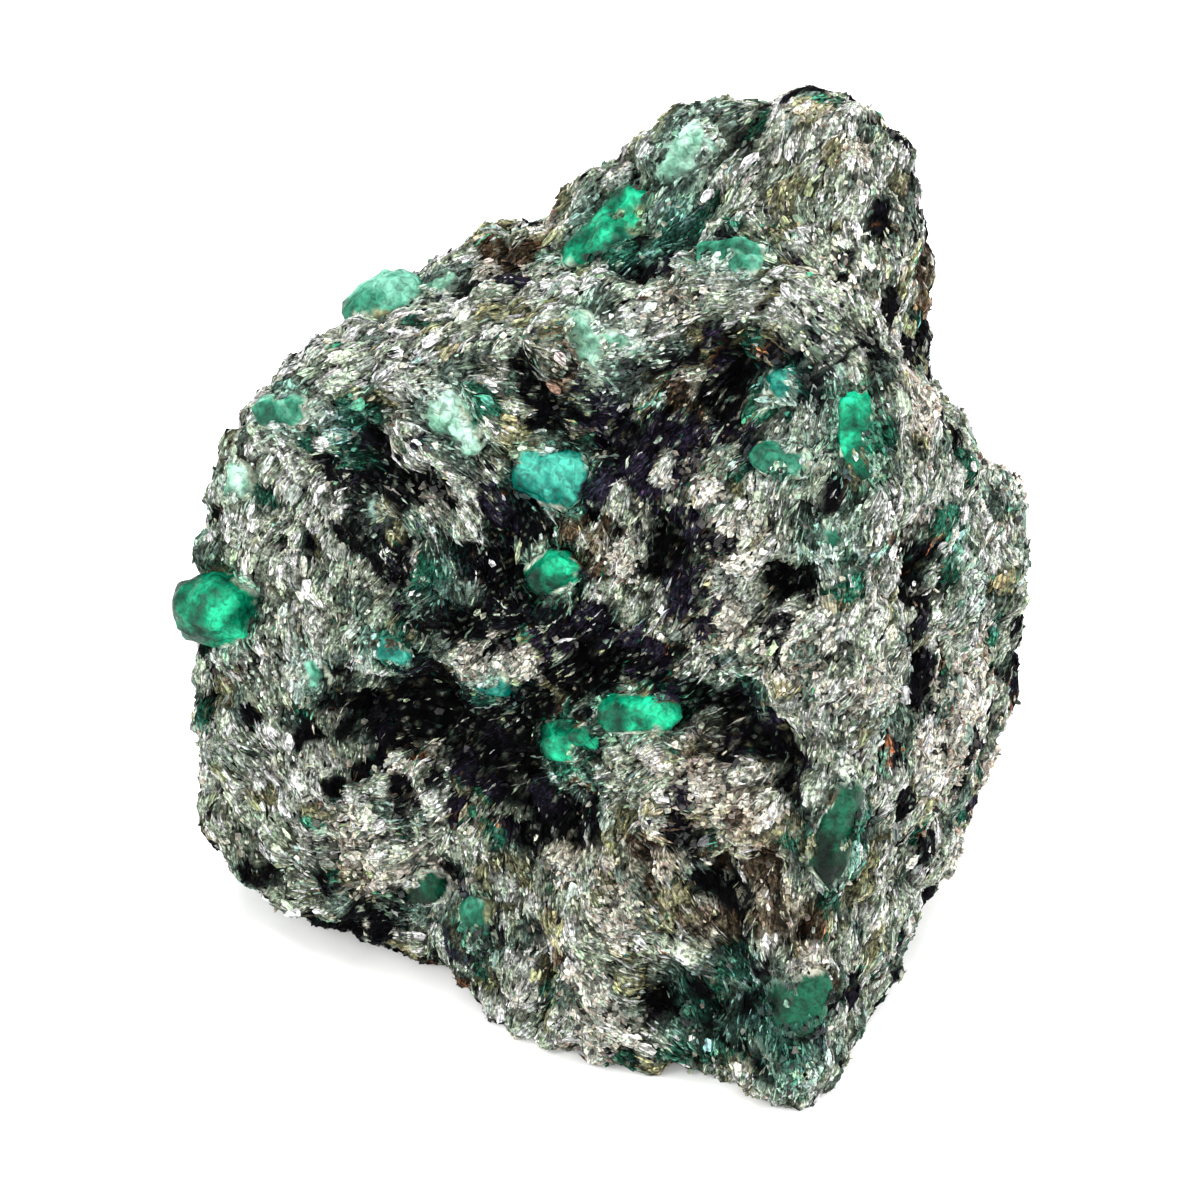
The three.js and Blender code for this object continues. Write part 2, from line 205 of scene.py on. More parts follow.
# Places where a zone shows on the near side: right of and above the picture's middle, and reach.
PATCHES = {
    # Shaded hollows: dips that are dark with black mica and painted shade.
    Zone.HOLLOW: [
        (-10.2, -6.9, 3.3), (-15.3, -8.1, 2.3), (-5.4, -9.9, 2.3), (-8.1, -1.3, 1.3), (-0.9, -3.0, 2.0),
        (-3.3, -6.0, 1.6), (0.6, -4.3, 1.4), (-5.1, 4.5, 1.3), (-5.3, 1.8, 1.1), (-2.9, 5.5, 1.1),
        (-15.0, 3.8, 1.4), (-17.3, 2.9, 1.0), (-13.7, 9.5, 1.6), (-10.5, 7.2, 1.3), (3.3, 2.3, 1.9),
        (4.1, 4.1, 1.2), (11.1, 0.9, 1.6), (7.3, -7.5, 2.4), (9.5, -8.1, 1.4), (19.2, 1.8, 1.4),
        (19.5, -5.4, 1.1), (15.2, -3.0, 0.8), (15.0, -6.3, 0.8), (7.1, 11.8, 1.3), (11.4, -10.5, 1.4),
        (-1.7, -13.9, 1.9), (6.9, -17.4, 1.6), (5.4, -24.0, 1.7), (-8.9, -16.8, 1.3), (-20.3, -16.3, 1.3),
        (2.4, 20.0, 1.4), (7.6, 26.6, 0.8), (17.2, 22.7, 1.0), (17.0, 28.5, 0.8), (8.1, 16.1, 1.6),
        (8.7, 14.3, 1.2), (-4.6, 14.3, 0.8), (-6.2, 16.9, 0.8), (-6.6, -23.1, 0.9), (15.0, -23.1, 1.1),
        (1.2, 9.9, 1.4), (-2.4, 10.2, 1.2), (-21.3, -14.4, 1.0), (8.1, -21.0, 1.2),
        (-16.7, -10.7, 1.0), (-9.1, -12.7, 1.0), (-5.2, -12.2, 1.4), (-3.4, -13.9, 1.2), (-16.1, -15.0, 0.8),
        (-17.1, -16.3, 0.9), (-20.5, -6.7, 0.9), (3.0, -23.7, 1.2), (8.6, -23.8, 1.3), (3.3, -25.1, 1.0),
        (9.9, -27.9, 0.9), (13.9, -24.4, 0.8), (11.8, -19.6, 0.9), (5.2, -14.2, 0.9),
    ],
    Zone.PALE: [
        (8.4, 3.6, 1.6), (11.7, -3.0, 1.9), (7.5, -1.8, 1.3), (5.4, -11.4, 2.2), (1.0, -18.3, 1.8),
        (1.7, 2.4, 1.1), (20.7, -5.5, 1.1), (21.0, -9.3, 2.5), (19.1, 11.7, 1.7), (-14.4, -16.1, 1.6),
        (-0.9, -23.1, 1.3), (0.0, -26.1, 1.6), (-2.4, -15.5, 1.1), (-7.8, -13.5, 0.6), (-15.3, -13.2, 1.1),
        (20.7, -15.0, 1.0), (14.5, 19.7, 1.1), (15.1, 26.5, 1.0), (12.3, 29.4, 1.0), (4.5, 18.0, 1.2),
        (-3.0, 22.1, 0.8), (6.0, 7.3, 1.4), (22.8, -3.6, 1.4), (-10.2, 6.0, 1.1), (-7.8, -3.6, 1.0),
        (-4.8, -3.6, 1.0),
        (9.0, -13.0, 1.6), (-12.1, -9.6, 0.7), (12.3, -21.3, 0.8),
    ],
    Zone.SILVER: [
        (-18.0, 7.2, 2.3), (-16.2, 10.2, 1.6), (-19.8, 3.6, 1.8), (-18.0, -1.2, 2.5), (-20.3, -5.4, 2.0),
        (-18.6, -9.9, 2.5), (-21.6, -11.4, 1.6), (-12.3, 10.8, 1.2), (16.3, 2.4, 1.9), (15.7, -1.5, 1.6),
        (14.7, -5.4, 1.3), (14.3, -9.6, 1.4), (16.3, 7.2, 1.6), (-9.0, 15.3, 1.9), (17.1, 15.6, 1.9),
        (9.6, 23.4, 1.8), (18.0, 9.0, 1.3), (2.4, 0.0, 1.6), (16.8, -18.0, 1.8), (-2.4, 0.0, 1.0),
        (3.0, 18.4, 1.2), (5.5, 18.8, 1.2), (8.0, 18.9, 1.2), (10.5, 18.6, 1.2), (12.8, 17.8, 1.2),
        (14.8, 16.4, 1.2), (16.4, 14.4, 1.2), (17.0, 12.0, 1.2), (-17.5, 12.3, 1.0), (-14.5, 12.8, 1.0),
        (-11.5, 12.4, 1.0), (-9.0, 11.8, 0.9),
        (-13.1, -12.4, 0.9), (10.6, -20.7, 0.7),
    ],
    Zone.OLIVE: [
        (-6.0, 18.0, 2.5), (-2.4, 18.9, 1.8), (9.6, 24.0, 2.9), (13.5, 23.7, 2.5), (-7.2, 21.6, 1.6),
        (8.4, -13.8, 2.2), (1.2, -14.1, 2.2), (3.6, -19.8, 2.2), (16.2, -16.2, 2.5), (-3.6, -18.3, 2.2),
        (6.0, 15.6, 1.8), (2.4, 22.2, 1.3), (10.8, 8.4, 1.1), (0.6, -24.0, 1.8),
    ],
    Zone.TEAL: [
        (0.3, 15.3, 2.3), (-3.3, 7.8, 1.8), (-2.7, 1.5, 1.3), (11.1, 12.9, 1.9), (15.1, 10.5, 1.7),
        (-9.3, 0.6, 1.6), (-12.6, -3.0, 1.6), (-7.0, -5.9, 1.1), (-1.8, -9.3, 1.7), (14.3, -13.2, 1.9),
        (14.7, -16.2, 1.6), (11.7, -24.0, 2.2), (11.4, -28.3, 1.3), (7.2, -25.2, 1.6), (-7.5, -19.8, 1.8),
        (-11.1, -17.4, 1.6), (5.4, -26.1, 1.2), (1.2, 22.2, 2.4), (5.4, 25.2, 2.0), (8.4, 20.0, 1.9),
        (-13.2, 18.5, 1.7), (-18.6, 11.7, 1.4), (-23.0, -0.9, 1.8), (22.5, 0.6, 1.4), (21.3, 3.6, 1.6),
        (14.4, 4.5, 1.8), (8.7, -5.4, 1.3), (-15.0, 11.1, 1.4), (-15.3, 9.3, 1.2), (6.0, -5.4, 0.8),
        (2.6, 20.6, 2.0), (4.8, 22.4, 1.8),
        (9.3, -24.3, 2.2), (6.8, -25.2, 1.8), (11.6, -26.2, 1.8), (5.0, -23.4, 1.2), (8.0, -21.5, 1.2),
    ],
    Zone.MINT: [
        (-7.8, 11.5, 1.7), (-0.5, 7.1, 1.1), (5.4, 27.3, 1.7), (-1.1, 21.0, 1.3), (2.4, 13.2, 1.0),
        (-22.2, 1.2, 0.8), (12.0, 8.7, 1.0), (14.9, 3.1, 1.1), (-17.3, -4.3, 0.8), (-21.6, 6.6, 1.0),
        (24.9, 3.3, 1.0), (16.5, -6.6, 0.7), (2.4, -6.9, 1.1), (-2.4, -8.7, 0.6),
    ],
    Zone.RUST: [
        (11.1, 3.3, 0.5), (3.3, -15.6, 0.8), (5.6, -9.6, 0.5), (9.7, -16.9, 0.9), (9.9, 14.9, 0.5),
        (-2.9, 21.8, 0.7), (-2.4, 14.6, 1.1), (0.0, 3.6, 0.7), (5.4, 12.5, 0.7), (-16.2, -5.4, 0.7),
        (-11.4, -9.6, 0.6),
    ],
    Zone.VIOLET: [
        (2.4, 9.6, 1.9), (5.4, 10.5, 1.6), (3.9, 7.1, 1.4), (-0.6, -0.7, 1.6), (-2.1, -2.4, 1.2),
        (5.4, 0.0, 1.7), (2.4, -3.3, 1.6), (8.4, 9.0, 1.0), (0.0, 12.0, 1.2), (-2.4, 14.9, 1.3),
        (-7.8, -9.6, 1.4),
    ],
    # Painted sheen: broad light patches, mostly along the rims and on raised lumps that catch the light.
    Zone.SHEEN: [
        (-21.0, 9.0, 4.0), (-20.5, 4.0, 4.0), (-20.5, -1.0, 3.6), (-21.0, -6.0, 3.6), (-20.5, -11.0, 3.6),
        (-20.0, -15.0, 3.0), (-17.0, 13.0, 4.0), (-12.0, 14.0, 4.5), (-12.0, 11.0, 2.8), (-7.0, 14.5, 4.5),
        (-6.0, 19.0, 4.0), (-10.0, 18.0, 4.0), (-2.0, 19.0, 4.0), (-15.0, 16.0, 3.5), (2.0, 24.0, 4.0),
        (6.0, 28.0, 3.0), (11.0, 28.0, 3.0), (15.0, 27.0, 3.4), (17.0, 21.0, 2.6), (12.0, 21.0, 1.6),
        (3.6, 18.0, 2.2), (8.4, 18.9, 2.2), (13.2, 17.4, 2.4), (16.8, 13.4, 2.6),
        (17.0, 9.0, 2.4), (16.6, 4.0, 2.4), (15.9, -1.0, 2.2), (15.2, -6.0, 2.0), (14.5, -11.0, 1.8),
        (14.0, -16.0, 1.6), (14.2, -21.0, 1.6), (14.0, -26.0, 1.6), (20.0, 8.0, 3.0), (22.5, 4.0, 3.2),
        (23.0, -2.0, 3.4), (21.5, -7.0, 3.4), (19.5, -12.0, 3.2), (18.0, -17.0, 3.0), (16.6, -21.5, 2.4),
        (-14.0, -15.0, 3.0), (-3.0, -24.0, 3.6), (2.0, -25.0, 3.6), (-0.5, -19.0, 3.0), (-8.0, -13.0, 2.4),
        (9.0, 5.0, 3.0), (11.0, -2.0, 3.0), (4.0, -12.0, 3.0), (8.0, -12.0, 2.6), (-16.0, 1.0, 2.6),
    ],
    Zone.BROWN: [
        (3.3, -15.6, 1.8), (9.7, -16.9, 2.2), (5.6, -9.6, 1.3), (8.6, -13.0, 2.0), (6.5, -19.5, 1.6),
        (11.0, -19.5, 1.6), (-1.7, -14.5, 1.4), (-6.0, 20.0, 1.6), (-2.4, 14.6, 1.5), (5.4, 12.5, 1.2),
        (-16.2, -5.4, 1.2), (0.0, 3.6, 1.1), (12.6, -22.0, 1.4),
    ],
}

# Which way the mica lies: right of and above the picture's middle, and degrees against its level.
STROKES = [
    (-10.2, 16.2, 35), (-4.8, 18.6, 30), (-15.0, 14.4, 50), (-16.2, 11.7, 20), (-10.8, 11.4, -5),
    (-4.8, 10.8, -20), (-21.0, 6.0, 65), (-18.0, 0.0, 70), (-21.6, -4.8, 80), (-20.4, -10.8, 95),
    (-12.0, 2.4, 60), (-10.8, 7.8, -25), (-7.2, 4.8, -60), (-6.0, -6.7, 22), (-1.5, -5.3, 25),
    (2.4, 2.4, 75), (6.0, 7.8, 60), (8.4, 0.0, 40), (16.2, 6.0, 80), (15.6, -1.2, 75),
    (14.1, -7.2, 85), (13.2, -15.0, 95), (13.8, -21.0, 80), (19.8, 4.8, 75), (21.0, -1.2, 60),
    (22.8, -6.0, 70), (18.0, -10.8, 65), (19.2, -15.0, 60), (3.6, 18.0, 20), (8.4, 18.7, 0),
    (13.2, 17.4, -25), (16.8, 13.2, -60), (6.0, 25.2, 40), (9.6, 27.0, 62), (13.8, 24.0, 80),
    (17.4, 21.0, 85), (10.2, 21.9, -52), (-3.6, -16.8, 75), (4.8, -16.8, -70), (2.4, -21.6, -30),
    (7.2, -13.8, 30), (-6.0, -21.6, 60), (12.0, -27.0, 80), (-16.2, -16.8, 10),
]

# Each emerald's colour, and how much of it shows bare of mica.
CRYSTALS = {
    "left_bead": (Tint.LEAF, 1.15),
    "top_dome": (Tint.DOME, 1.15),
    "top_chip": (Tint.MINT, 0.9),
    "brow_left": (Tint.DOME, 0.9),
    "left_rim": (Tint.MINT, 0.7),
    "block": (Tint.SEA, 0.95),
    "middle": (Tint.LEAF, 0.95),
    "bright_bar": (Tint.LEAF, 0.95),
    "vivid": (Tint.LEAF, 0.95),
    "brow_pale": (Tint.MINT, 0.75),
    "spur_foot": (Tint.LEAF, 0.95),
    "spur_slope": (Tint.MINT, 0.65),
    "spur_middle": (Tint.DOME, 0.75),
    "shelf_large": (Tint.MINT, 0.55),
    "arch_dark": (Tint.SEA, 0.9),
    "arch_upright": (Tint.LEAF, 0.8),
    "arch_bright": (Tint.DOME, 0.8),
    "edge_pale": (Tint.DOME, 0.5),
    "edge_smear": (Tint.DARK, 0.85),
    "foot_dark": (Tint.DARK, 0.85),
    "foot_tip": (Tint.DOME, 0.7),
    "heel_dark": (Tint.DARK, 0.8),
    "heel_teal": (Tint.DOME, 0.8),
    "left_pale": (Tint.DOME, 0.7),
    "left_teal": (Tint.SEA, 0.75),
    "hollow_teal": (Tint.SEA, 0.75),
    "grey": (Tint.GREY, 0.55),
    "front_left": (Tint.SEA, 0.5),
    "left_low": (Tint.DARK, 0.5),
    "right_slab": (Tint.GREY, 0.5),
    "right_grey": (Tint.GREY, 0.5),
    "right_yellow": (Tint.MINT, 0.5),
    "front_low": (Tint.DARK, 0.6),
    "back_large": (Tint.LEAF, 0.95),
    "back_upper": (Tint.SEA, 0.9),
    "back_lower": (Tint.DARK, 0.7),
    "back_left": (Tint.MINT, 0.7),
    "back_bead": (Tint.LEAF, 1.1),
    "back_right": (Tint.DARK, 0.8),
    "back_shelf": (Tint.DOME, 0.7),
    "side_right": (Tint.SEA, 0.8),
}


def linear(code: str) -> np.ndarray:
    """Turns an sRGB hex colour to linear light.

    Args:
        code: The colour, such as "#9ca396".

    Returns:
        Red, green and blue from 0 to 1.
    """
    srgb = np.array([int(code[i : i + 2], 16) / 255 for i in (1, 3, 5)])
    return np.where(srgb <= 0.04045, srgb / 12.92, ((srgb + 0.055) / 1.055) ** 2.4)


def opaque(code: str) -> tuple[float, float, float, float]:
    """Gives an sRGB hex colour as the four linear values of a colour socket."""
    return (*linear(code), 1.0)


def unit(vectors: np.ndarray) -> np.ndarray:
    """Gives vectors their own direction at length one."""
    return vectors / np.maximum(np.linalg.norm(vectors, axis=-1, keepdims=True), 1e-12)


def hashed(cells: np.ndarray, seed: int) -> np.ndarray:
    """Gives each whole-number cell an even number from 0 to 1, by mixing the bits of its indices.

    Args:
        cells: Cells as rows of three whole numbers.
        seed: Tells one set of numbers from another.

    Returns:
        One number for each cell.
    """
    index = np.asarray(cells).astype(np.int64).astype(np.uint64)
    mixed = np.bitwise_xor.reduce(index * np.array(HASH_FACTORS, np.uint64), axis=-1)
    mixed = mixed ^ np.uint64(seed * HASH_SEED)
    for shift, factor in HASH_STEPS:
        mixed = ((mixed ^ (mixed >> np.uint64(shift))) * np.uint64(factor)) & np.uint64(HASH_RANGE - 1)
    return mixed / float(HASH_RANGE)


def soft_noise(points: np.ndarray, spacing: float, seed: int) -> np.ndarray:
    """Smooth noise: random values at the corners of a cubic lattice, eased between them by 3t^2 - 2t^3.

    Args:
        points: Places as rows of three millimetres.
        spacing: Side of a cube of the lattice.
        seed: Tells one noise from another.

    Returns:
        One value from -1 to 1 for each place.
    """
    scaled = points / spacing
    base = np.floor(scaled)
    ease = scaled - base
    ease = ease * ease * (3 - 2 * ease)
    total = np.zeros(len(points))
    for corner in np.ndindex(2, 2, 2):
        share = np.where(np.array(corner), ease, 1 - ease).prod(axis=1)
        total += share * hashed(base + corner, seed)
    return 2 * total - 1


def grain_noise(points: np.ndarray, spacing: float, seed: int) -> tuple[np.ndarray, ...]:
    """Grains packed in a rock: each cube of a lattice has one centre, and a place belongs to the nearest.

    Args:
        points: Places as rows of three millimetres.
        spacing: Usual distance between two grains' centres.
        seed: Tells one packing from another.

    Returns:
        The distance to the nearest centre, how much farther the second is, the nearest's cell, and the way
        from its centre to the place.
    """
    scaled = points / spacing
    base = np.floor(scaled)
    first = np.full(len(points), np.inf)
    second = np.full(len(points), np.inf)
    owner = np.zeros_like(base)
    offset = np.zeros_like(base)
    for step in np.ndindex(3, 3, 3):
        cell = base + step - 1
        centre = cell + np.stack([hashed(cell, seed + axis) for axis in range(3)], axis=1)
        away = np.linalg.norm(scaled - centre, axis=1)
        closer = away < first
        second = np.where(closer, first, np.minimum(second, away))
        first = np.where(closer, away, first)
        owner[closer] = cell[closer]
        offset[closer] = (scaled - centre)[closer]
    return first * spacing, (second - first) * spacing, owner, offset * spacing


def shaken(points: np.ndarray, far: float, spacing: float, seed: int) -> np.ndarray:
    """Moves places a little, each axis by a soft noise of its own."""
    return points + far * np.stack([soft_noise(points, spacing, seed + axis) for axis in range(3)], axis=1)


def vertex_normals(places: np.ndarray, faces: np.ndarray) -> np.ndarray:
    """Gives the surface's direction at each vertex: the sum over its faces of their areas' directions.

    Args:
        places: Vertices.
        faces: Triangles or quads.

    Returns:
        Directions, one for each vertex.
    """
    cross = np.cross(places[faces[:, 2]] - places[faces[:, 0]], places[faces[:, -1]] - places[faces[:, 1]])
    total = np.zeros_like(places)
    for corner in faces.T:
        for axis in range(3):
            total[:, axis] += np.bincount(corner, cross[:, axis], len(places))
    return unit(total)


def read_solid(node: bpy.types.Object) -> tuple[np.ndarray, np.ndarray]:
    """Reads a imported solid.

    Args:
        node: The solid.

    Returns:
        Its vertices in millimetres, and its triangles.
    """
    mesh = node.data
    mesh.calc_loop_triangles()
    places = np.empty(len(mesh.vertices) * 3, np.float32)
    mesh.vertices.foreach_get("co", places)
    corners = np.empty(len(mesh.loop_triangles) * 3, np.int32)
    mesh.loop_triangles.foreach_get("vertices", corners)
    return places.reshape(-1, 3) / MM, corners.reshape(-1, 3)


def globe(around: int, along: int) -> tuple[np.ndarray, np.ndarray]:
    """A ball as a grid of longitude and latitude, closed at both poles.

    Args:
        around: Steps of longitude.
        along: Steps of latitude.

    Returns:
        Directions of the vertices, and triangles.
    """
    u = np.linspace(0, 2 * math.pi, around, endpoint=False)[None, :]
    v = np.linspace(0, math.pi, along + 1)[1:-1, None]
    body = np.stack([np.sin(v) * np.cos(u), np.sin(v) * np.sin(u), np.cos(v) + 0 * u], axis=-1)
    directions = np.concatenate([[[0.0, 0, 1]], body.reshape(-1, 3), [[0.0, 0, -1]]])
    rows = along - 1
    here = 1 + np.arange(rows * around).reshape(rows, around)
    right = np.roll(here, -1, axis=1)
    last = np.full(around, rows * around + 1)
    top = np.stack([np.zeros(around, int), here[0], right[0]], axis=1)
    lower = np.stack([here[:-1], here[1:], right[1:]], axis=-1).reshape(-1, 3)
    upper = np.stack([here[:-1], right[1:], right[:-1]], axis=-1).reshape(-1, 3)
    bottom = np.stack([here[-1], last, right[-1]], axis=1)
    return directions, np.concatenate([top, lower, upper, bottom])


def cell_charts(one: np.ndarray, count: int) -> np.ndarray:
    """Gives each of many like shapes a cell of the map to itself.

    Args:
        one: Map coordinates of one shape's corners, two units wide and one high.
        count: How many shapes.

    Returns:
        Map coordinates of all their corners.
    """
    columns = math.ceil(math.sqrt(count / 2))
    at = np.stack([np.arange(count) % columns, np.arange(count) // columns], axis=1)
    return (one[None] / (2, 1) + at[:, None, None]) / (columns, math.ceil(count / columns))


def make_piece(
    name: str,
    places: np.ndarray,
    faces: np.ndarray,
    material: bpy.types.Material,
    tints: np.ndarray | None = None,
    chart: np.ndarray | None = None,
    grain: np.ndarray | None = None,
    smooth: bool = False,
) -> bpy.types.Object:
    """Writes arrays into a mesh whose object sits at the origin, and lets it ride on the stone.

    Args:
        name: The piece's name.
        places: Vertices in millimetres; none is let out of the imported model's box.
        faces: Triangles as rows of three vertices, or quads as rows of four.
        material: The finish.
        tints: Linear colour of each vertex.
        chart: Two map coordinates for each corner of each face.
        grain: Coordinates of each vertex in its grain, in millimetres.
        smooth: Whether light is shaded evenly across faces.

    Returns:
        The new object.
    """
    mesh = bpy.data.meshes.new(name)
    inside = np.clip(places * MM, np.array(cad_box[0]), np.array(cad_box[1]))
    mesh.vertices.add(len(places))
    mesh.vertices.foreach_set("co", inside.astype(np.float32).ravel())
    mesh.loops.add(faces.size)
    mesh.loops.foreach_set("vertex_index", faces.astype(np.int32).ravel())
    mesh.polygons.add(len(faces))
    mesh.polygons.foreach_set("loop_start", np.arange(0, faces.size, faces.shape[1], dtype=np.int32))
    if tints is not None:
        colours = np.column_stack([tints, np.ones(len(tints))]).astype(np.float32)
        mesh.attributes.new(TINT, "FLOAT_COLOR", "POINT").data.foreach_set("color", colours.ravel())
    if grain is not None:
        own = (grain * MM).astype(np.float32)
        mesh.attributes.new(GRAIN, "FLOAT_VECTOR", "POINT").data.foreach_set("vector", own.ravel())
    if chart is not None:
        mesh.uv_layers.new(name=BAKE_MAP).data.foreach_set("uv", chart.astype(np.float32).ravel())
    mesh.update(calc_edges=True)
    if smooth:
        mesh.shade_smooth()
    else:
        mesh.shade_flat()
    mesh.materials.append(material)
    piece = bpy.data.objects.new(name, mesh)
    bpy.context.scene.collection.objects.link(piece)
    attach(piece, BODY)
    log.info("%s: %d faces", name, len(faces))
    return piece


def add_node(
    tree: bpy.types.NodeTree, kind: str, settings: Settings | None = None, inputs: dict | None = None
) -> bpy.types.Node:
    """Adds a shader node, sets its own settings, and sets or links its inputs.

    Args:
        tree: The material's nodes.
        kind: The node's type.
        settings: Values of the node's own settings.
        inputs: For each input, a value, or another node's output to link.

    Returns:
        The new node.
    """
    node = tree.nodes.new(kind)
    for name, value in (settings or {}).items():
        setattr(node, name, value)
    for name, value in (inputs or {}).items():
        if isinstance(value, bpy.types.NodeSocket):
            tree.links.new(value, node.inputs[name])
        else:
            node.inputs[name].default_value = value
    return node


def start_material(name: str) -> tuple[bpy.types.Material, bpy.types.NodeTree, bpy.types.NodeSocket]:
    """Starts an empty material.

    Args:
        name: What the real surface is.

    Returns:
        The material, its nodes, and the object's own coordinates in metres.
    """
    material = bpy.data.materials.new(name)
    material.use_nodes = True
    tree = material.node_tree
    tree.nodes.clear()
    return material, tree, add_node(tree, "ShaderNodeTexCoord").outputs["Object"]


def noise_range(
    tree: bpy.types.NodeTree,
    place: bpy.types.NodeSocket,
    size: float,
    detail: float,
    span: Span,
    wave: float = 0.0,
) -> bpy.types.NodeSocket:
    """Gives cloudy noise whose blotches are a real size, stretched to a range.

    Args:
        tree: The material's nodes.
        place: Coordinates in metres.
        size: Size of a blotch in millimetres.
        detail: How many finer layers it has.
        span: The noise's lowest and highest values that count, and what they become.
        wave: How much it bends.

    Returns:
        The stretched noise.
    """
    inputs = {"Vector": place, "Scale": 1 / (size * MM), "Detail": detail, "Distortion": wave}
    noise = add_node(tree, "ShaderNodeTexNoise", inputs=inputs)
    names = ("From Min", "From Max", "To Min", "To Max")
    inputs = {"Value": noise.outputs["Fac"], **dict(zip(names, span))}
    return add_node(tree, "ShaderNodeMapRange", inputs=inputs).outputs["Result"]


def tinted_surface(
    tree: bpy.types.NodeTree, pattern: bpy.types.NodeSocket, relief: float, bump: float, inputs: Settings
) -> bpy.types.NodeSocket:
    """Adds a surface whose colour is the vertices' own times a pattern, with the pattern as a bump too.

    Args:
        tree: The material's nodes.
        pattern: The pattern, about 1 in the middle.
        relief: The bump's height in millimetres.
        bump: The bump's strength.
        inputs: What else the surface is set to.

    Returns:
        The surface.
    """
    tint = add_node(tree, "ShaderNodeAttribute", {"attribute_name": TINT}).outputs["Color"]
    colour = add_node(tree, "ShaderNodeVectorMath", {"operation": "SCALE"}, {0: tint, "Scale": pattern})
    raised = {"Height": pattern, "Distance": relief * MM, "Strength": bump}
    normal = add_node(tree, "ShaderNodeBump", inputs=raised).outputs["Normal"]
    everything = {"Base Color": colour.outputs["Vector"], "Normal": normal, **inputs}
    return add_node(tree, "ShaderNodeBsdfPrincipled", inputs=everything).outputs["BSDF"]


@dataclass(frozen=True)
class GrainFinish:
    """Finish of the rock's grains: each has its own colour, mottled by grit and streaked along its mica."""

    name: str
    contrast: Span
    roughness: float
    specular: float
    mottle: float = 0.24
    detail: float = 3.0
    streaks: Span = (0.38, 0.6, 0.25, 1.25)
    streak: Pair = (0.14, 1.4)
    wave: float = 0.6
    relief: float = 0.03
    bump: float = 0.8
    glow: float = 0.0
    depth: float = 0.5
    ior: float = 1.58

    def material(self) -> bpy.types.Material:
        """Makes the material: the vertices' colours times a mottle and streaks, with both as a bump.

        Returns:
            The material.
        """
        material, tree, place = start_material(self.name)
        grain = add_node(tree, "ShaderNodeAttribute", {"attribute_name": GRAIN}).outputs["Vector"]
        width, length = self.streak
        drawn = add_node(
            tree, "ShaderNodeVectorMath", {"operation": "MULTIPLY"}, {0: grain, 1: (width / length, 1.0, 1.0)}
        )
        streaks = noise_range(tree, drawn.outputs["Vector"], width, self.detail, self.streaks, self.wave)
        mottle = noise_range(tree, place, self.mottle, self.detail, self.contrast)
        both = add_node(tree, "ShaderNodeMath", {"operation": "MULTIPLY"}, {0: streaks, 1: mottle}).outputs[0]
        inputs = {
            "Roughness": self.roughness,
            "Specular IOR Level": self.specular,
            "IOR": self.ior,
            "Subsurface Weight": self.glow,
            "Subsurface Scale": self.depth * MM,
        }
        surface = tinted_surface(tree, both, self.relief, self.bump, inputs)
        add_node(tree, "ShaderNodeOutputMaterial", inputs={"Surface": surface})
        return material


# The ground mass as it broke: dull, gritty and dark between the flakes.
GROUND = GrainFinish(
    "mica schist ground mass", contrast=(0.38, 0.6, 0.25, 1.25), roughness=0.85, specular=0.03, relief=0.06
)
# Cleavage faces of white mica, split along perfect flat planes, so each flake has a pearly flash.
MUSCOVITE = GrainFinish("muscovite", contrast=(0.36, 0.58, 0.3, 1.2), roughness=0.4, specular=0.22)
# Bronze-grey mica, duller, with iron in it.
PHLOGOPITE = GrainFinish("phlogopite", contrast=(0.36, 0.58, 0.3, 1.2), roughness=0.42, specular=0.2)
# Black mica, which swallows nearly all the light and only glints at its edges.
BIOTITE = GrainFinish("biotite", contrast=(0.38, 0.62, 0.2, 1.4), roughness=0.4, specular=0.03)
# Cream feldspar and quartz, broken across, with hair cracks and a little light inside.
FELDSPAR = GrainFinish(
    "feldspar and quartz",
    contrast=(0.34, 0.6, 0.5, 1.15),
    roughness=0.5,
    specular=0.35,
    mottle=0.5,
    streaks=(0.4, 0.55, 0.4, 1.1),
    streak=(0.3, 0.6),
    wave=1.2,
    relief=0.06,
    glow=0.25,
    ior=1.53,
)


@dataclass(frozen=True)
class BerylFinish:
    """Emerald, the green beryl: cloudy with fine veils, worn faces, light passing a few millimetres in."""

    tint: Tint
    mottle: float = 0.4
    detail: float = 6.0
    wave: float = 0.8
    contrast: Span = (0.34, 0.66, 0.5, 1.5)
    roughness: float = 0.26
    specular: float = 0.02
    ior: float = 1.58
    transmission: float = 0.15
    glow: float = 0.3
    glow_radius: tuple[float, float, float] = (0.4, 1.0, 0.75)
    depth: float = 1.0
    absorption: float = 600.0
    relief: float = 0.06
    bump: float = 0.7

    def material(self) -> bpy.types.Material:
        """Makes the material: the vertices' colours with finer mottle, and absorption inside.

        Returns:
            The material.
        """
        material, tree, place = start_material(f"emerald {self.tint.name.lower()}")
        mottle = noise_range(tree, place, self.mottle, self.detail, self.contrast, self.wave)
        inputs = {
            "Roughness": self.roughness,
            "IOR": self.ior,
            "Specular IOR Level": self.specular,
            "Transmission Weight": self.transmission,
            "Subsurface Weight": self.glow,
            "Subsurface Radius": self.glow_radius,
            "Subsurface Scale": self.depth * MM,
        }
        surface = tinted_surface(tree, mottle, self.relief, self.bump, inputs)
        inputs = {"Color": opaque(self.tint.value[1]), "Density": self.absorption}
        inside = add_node(tree, "ShaderNodeVolumeAbsorption", inputs=inputs).outputs["Volume"]
        add_node(tree, "ShaderNodeOutputMaterial", inputs={"Surface": surface, "Volume": inside})
        return material


